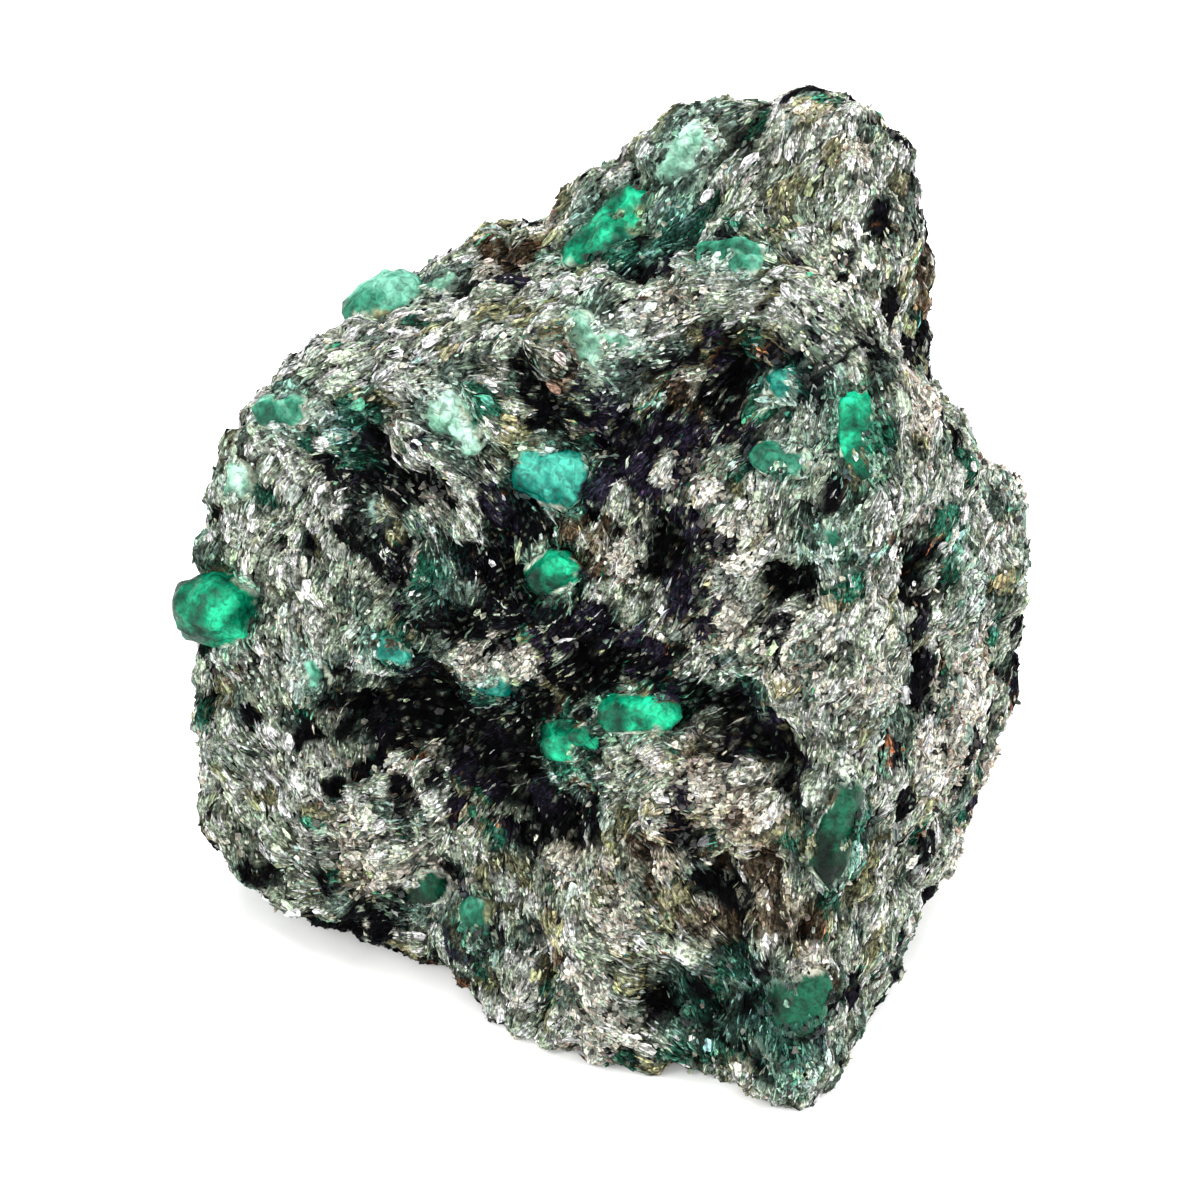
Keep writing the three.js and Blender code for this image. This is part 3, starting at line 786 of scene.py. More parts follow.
@dataclass(frozen=True)
class PaperFinish:
    """Matt white paper that the stone stands on."""

    colour: str = "#f7f7f6"
    shade: str = "#f2f2f1"
    fibre: float = 2.0
    detail: float = 3.0
    contrast: Span = (0.3, 0.7, 0.0, 1.0)
    roughness: float = 0.9
    specular: float = 0.1

    def material(self) -> bpy.types.Material:
        """Makes the material: white with barely uneven fibre.

        Returns:
            The material.
        """
        material, tree, place = start_material("white paper")
        fibre = noise_range(tree, place, self.fibre, self.detail, self.contrast)
        colours = {0: fibre, 6: opaque(self.colour), 7: opaque(self.shade)}
        colour = add_node(tree, "ShaderNodeMix", {"data_type": "RGBA"}, colours).outputs[2]
        inputs = {"Base Color": colour, "Roughness": self.roughness, "Specular IOR Level": self.specular}
        surface = add_node(tree, "ShaderNodeBsdfPrincipled", inputs=inputs)
        add_node(tree, "ShaderNodeOutputMaterial", inputs={"Surface": surface.outputs["BSDF"]})
        return material


@dataclass(frozen=True)
class Picture:
    """How the photograph looks at the stone: from the front and above, 72 mm wide at the stone's middle."""

    middle: tuple[float, float, float] = (-0.162, -1.714, 22.7)
    tilt: float = 35.0
    distance: float = 420.0
    width: float = 72.0

    @property
    def back(self) -> np.ndarray:
        """The direction from the stone to the eye."""
        tilt = math.radians(self.tilt)
        return np.array([0.0, -math.cos(tilt), math.sin(tilt)])

    @property
    def up(self) -> np.ndarray:
        """The direction that is up in the picture."""
        tilt = math.radians(self.tilt)
        return np.array([0.0, math.sin(tilt), math.cos(tilt)])

    @property
    def eye(self) -> np.ndarray:
        """Where the camera is."""
        return np.array(self.middle) + self.distance * self.back

    def sight(self, right: float, up: float) -> np.ndarray:
        """Gives the direction from the eye through a place of the picture."""
        return unit(np.array(self.middle) + np.array([right, 0, 0]) + up * self.up - self.eye)


@dataclass
class MatrixSolid:
    """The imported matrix, for laying things on it."""

    node: bpy.types.Object
    picture: Picture
    heart: tuple[float, float, float] = (0.84, 1.29, 23.1)
    reach: float = 60.0
    steps: int = 121
    tree: BVHTree = field(init=False)

    def __post_init__(self) -> None:
        """Reads the solid's faces."""
        places, corners = read_solid(self.node)
        self.tree = BVHTree.FromPolygons(places.tolist(), corners.tolist())

    def seen(self, right: float, up: float) -> tuple[np.ndarray, np.ndarray]:
        """Finds the place of the stone that the picture shows, or the nearest to a line that passes it.

        Args:
            right: Millimetres right of the picture's middle.
            up: Millimetres above it.

        Returns:
            The place and the surface's direction there.
        """
        eye = self.picture.eye
        sight = self.picture.sight(right, up)
        place, normal, _, _ = self.tree.ray_cast(Vector(eye), Vector(sight))
        if place is None:
            steps = self.picture.distance + np.linspace(-self.reach, self.reach, self.steps)
            near = [self.tree.find_nearest(Vector(eye + step * sight)) for step in steps]
            place, normal, _, _ = min(near, key=lambda found: found[3])
        return np.array(place), np.array(normal)

    def far(self, direction: np.ndarray) -> tuple[np.ndarray, np.ndarray]:
        """Finds the place of the skin in a direction from the heart, and the surface's direction there."""
        start = np.array(self.heart) + self.reach * direction
        place, normal, _, _ = self.tree.ray_cast(Vector(start), Vector(-direction))
        return np.array(place), np.array(normal)


@dataclass
class Spots:
    """Places scattered on a surface, with its direction and fine height, and what lies at each."""

    places: np.ndarray
    normals: np.ndarray
    relief: np.ndarray
    lay: np.ndarray = field(init=False)
    tints: np.ndarray = field(init=False)
    grain: np.ndarray = field(init=False)

    def pick(self, chosen: np.ndarray) -> "Spots":
        """Gives some of the places, dressed as they are."""
        part = Spots(self.places[chosen], self.normals[chosen], self.relief[chosen])
        part.lay = self.lay[chosen]
        part.tints = self.tints[chosen]
        part.grain = self.grain[chosen]
        return part


@dataclass(frozen=True)
class Shading:
    """How much darker joints between grains are, and the painted shade of low places and painted light of high
    ones.
    """

    joint: float
    rise: float
    width: float
    level: float
    slope: float
    darkest: float
    lightest: float

    def joints(self, gap: np.ndarray) -> np.ndarray:
        """Gives the brightness for gaps to the next grain."""
        return self.joint + self.rise * np.clip(gap / self.width, 0, 1)

    def painted_relief_shading(self, relief: np.ndarray) -> np.ndarray:
        """Gives the painted light and shade for heights of the skin: low places darker, high ones lighter."""
        return np.clip(self.level + self.slope * relief, self.darkest, self.lightest)


FLAKE_SHADING = Shading(joint=0.5, rise=0.5, width=0.3, level=0.95, slope=0.5, darkest=0.3, lightest=1.3)
SKIN_SHADING = Shading(joint=0.15, rise=0.5, width=0.4, level=0.8, slope=0.8, darkest=0.15, lightest=1.4)


@dataclass
class Fabric:
    """The fabric of the schist: which mineral shows where, and which way its mica lies."""

    solid: MatrixSolid
    rng: np.random.Generator
    far_patches: int = 320
    far_reach: Pair = (0.8, 2.6)
    far_painted_sheen: float = 1.7
    far_edge: float = 0.05
    zone_shake: Pair = (0.5, 1.3)
    filled: float = 0.8
    painted_sheen_broken: float = 0.85
    grain: float = 1.9
    grain_shake: Pair = (0.5, 1.1)
    grain_light: Pair = (0.8, 0.4)
    grain_apart: float = 50.0
    stroke_reach: float = 4.0
    layering: tuple[float, float, float] = (0.55, 0.2, 0.8)
    layering_pull: float = 0.03
    wobble: float = 0.55
    wobble_size: float = 2.2
    streak: Pair = (0.2, 2.2)
    streak_steps: int = 7
    streak_contrast: float = 0.5
    loners: float = 0.16
    hue: float = 0.08
    stain_share: float = 0.75
    hollow_shade: float = 0.6
    stray: float = 0.14
    brightest: float = 0.6
    centres: np.ndarray = field(init=False)
    reaches: np.ndarray = field(init=False)
    members: np.ndarray = field(init=False)
    stroke_places: np.ndarray = field(init=False)
    stroke_lays: np.ndarray = field(init=False)
    pull: np.ndarray = field(init=False)
    common: np.ndarray = field(init=False)
    colours: np.ndarray = field(init=False)

    def __post_init__(self) -> None:
        """Lays the patches and strokes on the solid, and lists the minerals."""
        self.lay_patches()
        self.lay_strokes()
        self.pull = np.array([[ADDED[zone].get(mineral, 0.0) for mineral in Mineral] for zone in Zone])
        self.common = np.array([COMMON[mineral] for mineral in Mineral])
        self.colours = np.array([linear(mineral.value) for mineral in Mineral])

    def lay_patches(self) -> None:
        """Lays the near side's patches as they are listed, and scatters the far side's at random."""
        near = [(zone, *spot) for zone, spots in PATCHES.items() for spot in spots]
        rows = [(zone, self.solid.seen(right, up)[0], reach) for zone, right, up, reach in near]
        zones = list(FAR_ZONES)
        shares = list(FAR_ZONES.values())
        for direction in unit(self.rng.normal(size=(self.far_patches, 3))):
            place, normal = self.solid.far(direction)
            zone = zones[self.rng.choice(len(zones), p=shares)]
            reach = self.rng.uniform(*self.far_reach) * (self.far_painted_sheen if zone is Zone.SHEEN else 1.0)
            if normal @ self.solid.picture.back < self.far_edge:
                rows.append((zone, place, reach))
        self.centres = np.array([place for _, place, _ in rows])
        self.reaches = np.array([reach for _, _, reach in rows])
        self.members = np.array([[found is zone for zone in Zone] for found, _, _ in rows], float)

    def lay_strokes(self) -> None:
        """Turns the listed strokes to directions along the surface."""
        found = [self.solid.seen(right, up) for right, up, _ in STROKES]
        self.stroke_places = np.array([place for place, _ in found])
        normals = np.array([normal for _, normal in found])
        turns = np.radians([turn for _, _, turn in STROKES])[:, None]
        lays = np.cos(turns) * np.array([1.0, 0, 0]) + np.sin(turns) * self.solid.picture.up
        self.stroke_lays = unit(lays - np.sum(lays * normals, axis=1, keepdims=True) * normals)

    def zones(self, points: np.ndarray) -> np.ndarray:
        """Gives how much of each zone shows: a bell curve of the distance to each of its patches.

        Light grains cover the shaded hollows, and those break the painted sheen.

        Args:
            points: Places as rows of three millimetres.

        Returns:
            One row for each place, one column for each zone.
        """
        points = shaken(points, *self.zone_shake, Noise.ZONE)
        squares = (points**2).sum(axis=1)[:, None] + (self.centres**2).sum(axis=1)
        squares -= 2 * points @ self.centres.T
        shares = np.minimum(np.exp(-squares / self.reaches**2) @ self.members, 1.0)
        light = shares[:, [Zone.PALE.value, Zone.SILVER.value, Zone.MINT.value, Zone.OLIVE.value]].max(axis=1)
        shares[:, Zone.HOLLOW.value] *= 1 - self.filled * light
        shares[:, Zone.SHEEN.value] *= 1 - self.painted_sheen_broken * shares[:, Zone.HOLLOW.value]
        return shares

    def lay(self, points: np.ndarray, normals: np.ndarray) -> np.ndarray:
        """Gives the direction of the mica along the surface: the main axis of the strokes nearby.

        Args:
            points: Places as rows of three millimetres.
            normals: The surface's directions there.

        Returns:
            Directions along the surface.
        """
        away = ((points[:, None, :] - self.stroke_places[None]) ** 2).sum(axis=2) / self.stroke_reach**2
        axes = (self.stroke_lays[:, :, None] * self.stroke_lays[:, None, :]).reshape(-1, 9)
        spread = (np.exp(-away) @ axes).reshape(-1, 3, 3)
        layering = unit(np.array(self.layering))
        spread += self.layering_pull * layering[:, None] * layering[None, :]
        flat = np.eye(3) - normals[:, :, None] * normals[:, None, :]
        main = np.linalg.eigh(flat @ spread @ flat)[1][:, :, 2]
        turn = self.wobble * soft_noise(points, self.wobble_size, Noise.WOBBLE)[:, None]
        return unit(main * np.cos(turn) + np.cross(normals, main) * np.sin(turn))

    def streaks(self, points: np.ndarray, lay: np.ndarray, size: Pair, seed: int) -> np.ndarray:
        """Noise drawn out along the mica: the sum of a soft noise at a few steps along it.

        Args:
            points: Places as rows of three millimetres.
            lay: The mica's directions there.
            size: Width and length of a streak.
            seed: Tells one noise from another.

        Returns:
            One value for each place, about 0 and with a spread of 1.
        """
        width, length = size
        steps = np.linspace(-0.5, 0.5, self.streak_steps) * length
        total = np.sum([soft_noise(points + step * lay, width, seed) for step in steps], axis=0)
        return (total - total.mean()) / total.std()

    def grains(self, points: np.ndarray) -> tuple[np.ndarray, ...]:
        """Gives the grain noise at places that are first shaken, so that grains aren't straight-sided."""
        return grain_noise(shaken(points, *self.grain_shake, Noise.GRAIN), self.grain, Noise.GRAIN)

    def tint(self, points: np.ndarray, zones: np.ndarray, own: np.ndarray) -> tuple[np.ndarray, np.ndarray]:
        """Gives each place its mineral's colour: one mineral to a grain, drawn by how common it is there.

        Args:
            points: Places as rows of three millimetres.
            zones: How much of each zone shows.
            own: A number from 0 to 1 for each place; a few places differ from their grain by it.

        Returns:
            Linear colours, and the gap to the next grain in millimetres.
        """
        _, gap, owner, _ = self.grains(points)
        loner = own < self.loners
        draw = np.where(loner, own / self.loners, hashed(owner, Noise.MINERAL))
        weights = self.common + np.where(loner[:, None], 0, zones) @ self.pull
        steps = np.cumsum(weights, axis=1) / weights.sum(axis=1, keepdims=True)
        kind = np.minimum((draw[:, None] > steps).sum(axis=1), len(Mineral) - 1)
        bright = self.grain_light[0] + self.grain_light[1] * hashed(owner, Noise.GRAIN_LIGHT)
        tints = self.colours[kind] * bright[:, None]
        for zone, stain in STAINS.items():
            share = self.stain_share * zones[:, zone.value, None]
            tints += share * (tints.mean(axis=1, keepdims=True) * np.array(stain) - tints)
        return tints, gap

    def grain_map(self, points: np.ndarray, normals: np.ndarray, lay: np.ndarray) -> np.ndarray:
        """Gives places their coordinates in their own grain: along its mica, across it and outwards.

        Args:
            points: Places as rows of three millimetres.
            normals: The surface's directions there.
            lay: The mica's directions there.

        Returns:
            Coordinates in millimetres, well apart from one grain to the next.
        """
        _, _, owner, offset = self.grains(points)
        axes = np.stack([lay, np.cross(normals, lay), normals], axis=1)
        apart = self.grain_apart * hashed(owner, Noise.GRAIN_APART)[:, None]
        return (axes @ offset[:, :, None])[:, :, 0] + apart

    def dress(self, spots: Spots, rng: np.random.Generator, spread: float) -> None:
        """Gives flakes and fibres their directions and colours: darker between grains, with painted shade in
        hollows and low places and painted light on high ones.

        Args:
            spots: Where they lie; their directions, colours and grain coordinates are set.
            rng: Draws each one's own difference.
            spread: How much brightness differs from one to the next.
        """
        count = len(spots.places)
        lay = self.lay(spots.places, spots.normals)
        zones = self.zones(spots.places)
        tints, gap = self.tint(spots.places, zones, rng.random(count))
        streak = self.streaks(spots.places, lay, self.streak, Noise.STREAK)
        bright = np.exp(self.streak_contrast * streak + spread * rng.normal(size=count))
        bright *= FLAKE_SHADING.joints(gap)
        # Painted shade in low places and painted light on high ones.
        bright *= FLAKE_SHADING.painted_relief_shading(spots.relief)
        # Painted shade in the shaded hollows.
        bright *= 1 - self.hollow_shade * zones[:, Zone.HOLLOW.value]
        turn = self.stray * rng.normal(size=(count, 1))
        spots.lay = lay * np.cos(turn) + np.cross(spots.normals, lay) * np.sin(turn)
        hue = 1 + self.hue * rng.normal(size=(count, 3))
        spots.tints = np.clip(tints * hue * bright[:, None], 0, self.brightest)
        spots.grain = self.grain_map(spots.places, spots.normals, lay)


@dataclass
class Crystal:
    """One emerald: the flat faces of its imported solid, worn round at the edges and uneven."""

    node: bpy.types.Object
    growth: float = 0.1
    nearest_face: float = 0.1
    face_digits: int = 3
    wear: float = 20.0
    around: int = 44
    along: int = 26
    bulge: Pair = (0.14, 1.6)
    ripple: Pair = (0.05, 0.45)
    chunk: Pair = (0.17, 1.15)
    chunk_shake: Pair = (0.3, 0.6)
    worn_bead: float = 0.3
    tone: float = 0.4
    painted_lit_top: float = 0.12
    facet_tone: float = 0.45
    painted_light_end: tuple[float, float, float] = (0.2, -0.05, 0.28)
    clouds: tuple[Pair, ...] = ((0.55, 1.9), (0.4, 0.9), (0.3, 0.45))
    rock_search: float = 1.5
    soft_rim: float = 0.5
    cover: float = 0.5
    cover_patches: tuple[Pair, ...] = ((0.6, 1.1), (0.3, 0.5))
    cover_rim: float = 1.2
    cover_blur: float = 0.3
    cover_shade: float = 0.7
    lap_height: float = 1.4
    lap_reach: float = 1.0
    lap_bare: float = 1.3
    lap_uneven: Pair = (0.5, 1.2)
    halo_reaches: float = 3.0
    tint: Tint = field(init=False)
    bare: float = field(init=False)
    middle: np.ndarray = field(init=False)
    reach: float = field(init=False)
    face_normals: np.ndarray = field(init=False)
    face_distances: np.ndarray = field(init=False)
    places: np.ndarray = field(init=False)
    normals: np.ndarray = field(init=False)
    chunks: np.ndarray = field(init=False)
    covered: np.ndarray = field(init=False)
    facing: np.ndarray = field(init=False)

    def __post_init__(self) -> None:
        """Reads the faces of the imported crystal."""
        places, corners = read_solid(self.node)
        a, b, c = np.moveaxis(places[corners], 1, 0)
        self.tint, self.bare = CRYSTALS[self.node.name.removeprefix("emerald_")]
        self.middle = (places.min(0) + places.max(0)) / 2
        self.reach = np.linalg.norm(places - self.middle, axis=1).max()
        normals = unit(np.cross(b - a, c - a))
        flat = np.column_stack([normals, ((a - self.middle) * normals).sum(axis=1)])
        flat = np.unique(np.round(flat[flat[:, 3] > self.nearest_face], self.face_digits), axis=0)
        self.face_normals = flat[:, :3]
        self.face_distances = flat[:, 3] + self.growth

    @property
    def broken(self) -> float:
        """How sharp the broken chunks are; a bead that stands free is worn."""
        return self.worn_bead if self.bare > 1 else 1.0

    def outside(self, points: np.ndarray) -> np.ndarray:
        """Gives how far places are outside the crystal; below zero is inside it."""
        return ((points - self.middle) @ self.face_normals.T - self.face_distances).max(axis=1)

    def shape(self, directions: np.ndarray) -> None:
        """Works out the crystal's vertices, and the broken chunk that each belongs to.

        The way out to the skin is one over the p-norm of each face's slope over its distance, so that faces
        stay flat and edges are round; broken chunks and two sizes of soft noise make it uneven.

        Args:
            directions: Directions of the vertices from the middle.
        """
        slopes = np.maximum(directions @ self.face_normals.T, 0) / self.face_distances
        out = ((slopes**self.wear).sum(axis=1) ** (-1 / self.wear))[:, None]
        places = self.middle + directions * out
        depth, size = self.chunk
        moved = shaken(places, *self.chunk_shake, Noise.CHUNK_SHAKE)
        _, _, self.chunks, _ = grain_noise(moved, size, Noise.CHUNK)
        out = out * (1 + self.broken * depth * (hashed(self.chunks, Noise.CHUNK_HEIGHT)[:, None] - 0.5))
        for seed, (share, size) in ((Noise.BULGE, self.bulge), (Noise.RIPPLE, self.ripple)):
            out = out * (1 + share * soft_noise(places, size, seed)[:, None])
        self.places = self.middle + directions * out

    def tints(self, fabric: Fabric) -> np.ndarray:
        """Gives the vertices' colours: deep to pale by facet and cloud, with painted light on upward faces and
        towards the upper right end, and the rock's where mica covers.

        Args:
            fabric: The fabric of the rock.

        Returns:
            Linear colours.
        """
        # Painted light: faces that point up are paler.
        shade = self.tone + self.painted_lit_top * self.normals[:, 2]
        shade = shade + self.broken * self.facet_tone * (hashed(self.chunks, Noise.FACET) - 0.5)
        # Painted light: paler towards the upper right end, the side the boxes shine from.
        shade += (self.places - self.middle) / self.reach @ np.array(self.painted_light_end)
        for share, size in self.clouds:
            shade += share * soft_noise(self.places, size, Noise.CLOUD)
        deep, middle, pale = (linear(code) for code in self.tint.value)
        steps = np.clip(shade, 0, 1)[:, None] * 2
        tints = np.where(steps < 1, deep + (middle - deep) * steps, middle + (pale - middle) * (steps - 1))
        rock, _ = fabric.tint(self.places, fabric.zones(self.places), np.ones(len(self.places)))
        return tints + self.covered[:, None] * (self.cover_shade * rock - tints)

    def build(self, finish: bpy.types.Material, skin: "FineSkin") -> None:
        """Makes the crystal on a grid of longitude and latitude.

        Args:
            finish: The emerald's material.
            skin: The fine skin, whose colour the crystal's edge fades into.
        """
        directions, faces = globe(self.around, self.along)
        self.shape(directions)
        self.normals = vertex_normals(self.places, faces)
        self.meet(skin)
        name = self.node.name.replace("emerald", "beryl")
        piece = make_piece(name, self.places, faces, finish, self.tints(skin.fabric), smooth=True)
        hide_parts(self.node.name)

    def meet(self, skin: "FineSkin") -> None:
        """Works out where mica covers the crystal: in patches, and most where the rock is near.

        Args:
            skin: The fine skin.
        """
        close = np.linalg.norm(skin.places - self.middle, axis=1) < self.reach + self.rock_search
        away = np.linalg.norm(self.places[:, None] - skin.places[close][None], axis=2)
        rim = np.exp(-((away.min(axis=1) / self.soft_rim) ** 2))
        level = np.zeros(len(self.places))
        for layer, (share, size) in enumerate(self.cover_patches):
            level += share * soft_noise(self.places, size, Noise.COVER + layer)
        level = self.cover + level + self.cover_rim * rim - self.bare
        self.covered = np.clip(level / self.cover_blur, 0, 1)
        self.facing = (self.normals * skin.normals[close][away.argmin(axis=1)]).sum(axis=1)

    def weight(self) -> np.ndarray:
        """Gives how much mica lies at each vertex: as much as it is covered, by its share of the surface."""
        spread = np.linalg.norm((self.places - self.middle)[:, :2], axis=1)
        return self.covered * np.maximum(self.facing, 0) * spread * self.reach

    def lap(self, points: np.ndarray) -> np.ndarray:
        """Gives how far the rock laps up the crystal: farther for one that shows little, and unevenly."""
        share, size = self.lap_uneven
        uneven = 1 + share * soft_noise(points, size, Noise.LAP)
        return self.lap_height * (self.lap_bare - self.bare) * self.halo(points, self.lap_reach) * uneven

    def halo(self, points: np.ndarray, reach: float) -> np.ndarray:
        """Gives how close places are to the crystal, from 1 on it to 0 well away."""
        away = np.linalg.norm(points - self.middle, axis=1)
        share = np.zeros(len(points))
        close = away < self.reach + self.halo_reaches * reach
        share[close] = np.exp(-((np.maximum(self.outside(points[close]), 0) / reach) ** 2))
        return share


@dataclass
class FineSkin:
    """The matrix's skin: six square grids on a cube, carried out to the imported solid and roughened."""

    solid: MatrixSolid
    fabric: Fabric
    splits: int = 124
    rounds: int = 5
    lump: float = 3.3
    lump_height: float = 0.65
    lump_shake: Pair = (0.9, 2.0)
    joint: Pair = (0.5, 0.5)
    swell: float = 0.2
    crack: float = 0.3
    crack_width: float = 0.2
    bundle: Pair = (0.75, 3.0)
    bundle_height: float = 0.16
    hollow: float = 0.9
    pale: float = 0.3
    grit: Pair = (0.12, 0.6)
    normal_rounds: int = 2
    ease: float = 0.6
    ease_share: float = 0.6
    chart_share: float = 0.98
    own_cells: float = 20.0
    hollow_shade: float = 0.9
    pale_light: float = 0.9
    places: np.ndarray = field(init=False)
    normals: np.ndarray = field(init=False)
    relief: np.ndarray = field(init=False)
    faces: np.ndarray = field(init=False)
    chart: np.ndarray = field(init=False)

    def cube_grid(self) -> tuple[np.ndarray, np.ndarray, np.ndarray]:
        """Six grids of a cube's faces, joined at the edges; a step i becomes tan((2i/n - 1) pi/4).

        Returns:
            Directions of the joined vertices, quads, and map coordinates of the quads' corners.
        """
        n = self.splits
        i, j = np.meshgrid(np.arange(n + 1), np.arange(n + 1), indexing="ij")
        low, high = np.zeros_like(i), np.full_like(i, n)
        sides = [(high, i, j), (low, j, i), (j, high, i), (i, low, j), (i, j, high), (j, i, low)]
        lattice = np.concatenate([np.stack(side, axis=-1).reshape(-1, 3) for side in sides])
        corners, joined = np.unique(lattice, axis=0, return_inverse=True)
        k = (np.arange(n)[:, None] * (n + 1) + np.arange(n)[None, :]).ravel()
        quad = np.stack([k, k + n + 1, k + n + 2, k + 1], axis=1)
        margin = (1 - self.chart_share) / 2
        flat = np.stack([i, j], axis=-1).reshape(-1, 2) / n * self.chart_share + margin
        quads, charts = [], []
        for side in range(len(sides)):
            quads.append(joined.ravel()[quad + side * (n + 1) ** 2])
            charts.append((flat[quad] + (side % 3, side // 3)) / (3, 2))
        directions = unit(np.tan((2 * corners / n - 1) * math.pi / 4))
        return directions, np.concatenate(quads), np.concatenate(charts)

    def project(self, directions: np.ndarray, quads: np.ndarray) -> np.ndarray:
        """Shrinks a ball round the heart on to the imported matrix, straight towards the heart.

        Args:
            directions: Directions of the ball's vertices.
            quads: Its faces.

        Returns:
            Places on the solid in millimetres.
        """
        mesh = bpy.data.meshes.new("shell")
        ball = (np.array(self.solid.heart) + self.solid.reach * directions) * MM
        mesh.from_pydata(ball.tolist(), [], quads.tolist())
        shell = bpy.data.objects.new("shell", mesh)
        bpy.context.scene.collection.objects.link(shell)
        wrap = shell.modifiers.new("wrap", "SHRINKWRAP")
        wrap.target = self.solid.node
        wrap.wrap_method = "PROJECT"
        wrap.use_negative_direction = True
        wrap.use_positive_direction = False
        wrapped = shell.evaluated_get(bpy.context.evaluated_depsgraph_get()).to_mesh()
        places = np.empty(len(wrapped.vertices) * 3, np.float32)
        wrapped.vertices.foreach_get("co", places)
        bpy.data.objects.remove(shell)
        bpy.data.meshes.remove(mesh)
        return places.reshape(-1, 3) / MM

    def smooth(self, places: np.ndarray, rounds: int) -> np.ndarray:
        """Moves each vertex half-way to the middle of its neighbours, a number of times.

        Args:
            places: Vertices of the skin.
            rounds: How many times.

        Returns:
            The moved vertices.
        """
        start = self.faces.ravel()
        end = np.roll(self.faces, -1, axis=1).ravel()
        count = np.bincount(start, minlength=len(places)) + np.bincount(end, minlength=len(places))
        for _ in range(rounds):
            total = np.zeros_like(places)
            for axis in range(3):
                total[:, axis] = np.bincount(start, places[end, axis], len(places))
                total[:, axis] += np.bincount(end, places[start, axis], len(places))
            places = (places + total / count[:, None]) / 2
        return places

    def build(self, crystals: list[Crystal]) -> None:
        """Makes the skin: lumps and grains swell, cracks part them, mica bundles ridge it, hollows sink.

        Args:
            crystals: Emeralds that the rock laps round.
        """
        directions, self.faces, self.chart = self.cube_grid()
        places = self.smooth(self.project(directions, self.faces), self.rounds)
        normals = vertex_normals(places, self.faces)
        lay = self.fabric.lay(places, normals)
        moved = shaken(places, *self.lump_shake, Noise.LUMP_SHAKE)
        lump, lump_gap, _, _ = grain_noise(moved, self.lump, Noise.LUMP)
        near, gap, _, _ = self.fabric.grains(places)
        height = self.lump_height * (1 - (lump / self.lump) ** 2)
        share, width = self.joint
        height -= share * self.lump_height * np.exp(-((lump_gap / width) ** 2))
        height += self.swell * (1 - (near / self.fabric.grain) ** 2)
        height -= self.crack * np.exp(-((gap / self.crack_width) ** 2))
        height += self.bundle_height * self.fabric.streaks(places, lay, self.bundle, Noise.BUNDLE)
        share, size = self.grit
        height += share * soft_noise(places, size, Noise.GRIT)
        self.relief = height - height.mean()
        zones = self.fabric.zones(places)
        sunk = self.relief - self.hollow * zones[:, Zone.HOLLOW.value] + self.pale * zones[:, Zone.PALE.value]
        lap = np.max([crystal.lap(places) for crystal in crystals], axis=0)
        places = places + normals * (sunk + lap)[:, None]
        self.places = self.held_in(places)
        self.normals = vertex_normals(self.smooth(self.places, self.normal_rounds), self.faces)

    def held_in(self, places: np.ndarray) -> np.ndarray:
        """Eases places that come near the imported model's box back inside it: w (1 - e^(-x/w)) for a depth x.

        Args:
            places: Vertices of the skin.

        Returns:
            The eased vertices, none of them under the floor.
        """
        low, high = (np.array(corner) / MM for corner in cad_box)
        over = np.maximum(places - (high - self.ease), 0)
        under = np.maximum(low + self.ease - places, 0) * (1, 1, 0)
        width = self.ease_share * self.ease
        places = places - over + width * (1 - np.exp(-over / width))
        places = places + under - width * (1 - np.exp(-under / width))
        places[:, 2] = np.maximum(places[:, 2], 0.0)
        return places

    def dress(self) -> None:
        """Colours the skin darker than the flakes on it and darkest in its cracks, with painted shade in its
        hollows and low places and painted light on its high places.
        """
        zones = self.fabric.zones(self.places)
        own = hashed(np.round(self.places * self.own_cells), Noise.SKIN_OWN)
        tint, gap = self.fabric.tint(self.places, zones, own)
        # Painted shade in low places and painted light on high ones, times the darker joints.
        shade = SKIN_SHADING.joints(gap) * SKIN_SHADING.painted_relief_shading(self.relief)
        # Painted shade in the shaded hollows; pale zones are lighter in tone.
        hollow = 1 - self.hollow_shade * zones[:, Zone.HOLLOW.value]
        shade *= hollow * (1 + self.pale_light * zones[:, Zone.PALE.value])
        tints = tint * shade[:, None]
        lay = self.fabric.lay(self.places, self.normals)
        grain = self.fabric.grain_map(self.places, self.normals, lay)
        finish = GROUND.material()
        skin = make_piece("schist", self.places, self.faces, finish, tints, self.chart, grain, True)
        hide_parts("matrix")

    def scatter(self, count: int, weight: np.ndarray, rng: np.random.Generator) -> Spots:
        """Scatters places evenly over the skin, more where the weight is high.

        Args:
            count: How many.
            weight: One number for each vertex.
            rng: Draws the places.

        Returns:
            The places.
        """
        a, b, c, d = (self.places[self.faces[:, corner]] for corner in range(4))
        area = np.linalg.norm(np.cross(c - a, d - b), axis=1) / 2
        steps = np.cumsum(area * weight[self.faces].mean(axis=1))
        draw = (np.arange(count) + rng.random(count)) / count * steps[-1]
        quad = self.faces[np.minimum(np.searchsorted(steps, draw), len(steps) - 1)]
        u, v = rng.random((2, count))
        shares = np.stack([(1 - u) * (1 - v), u * (1 - v), u * v, (1 - u) * v], axis=1)
        places = (self.places[quad] * shares[:, :, None]).sum(axis=1)
        normals = unit((self.normals[quad] * shares[:, :, None]).sum(axis=1))
        return Spots(places, normals, (self.relief[quad] * shares).sum(axis=1))


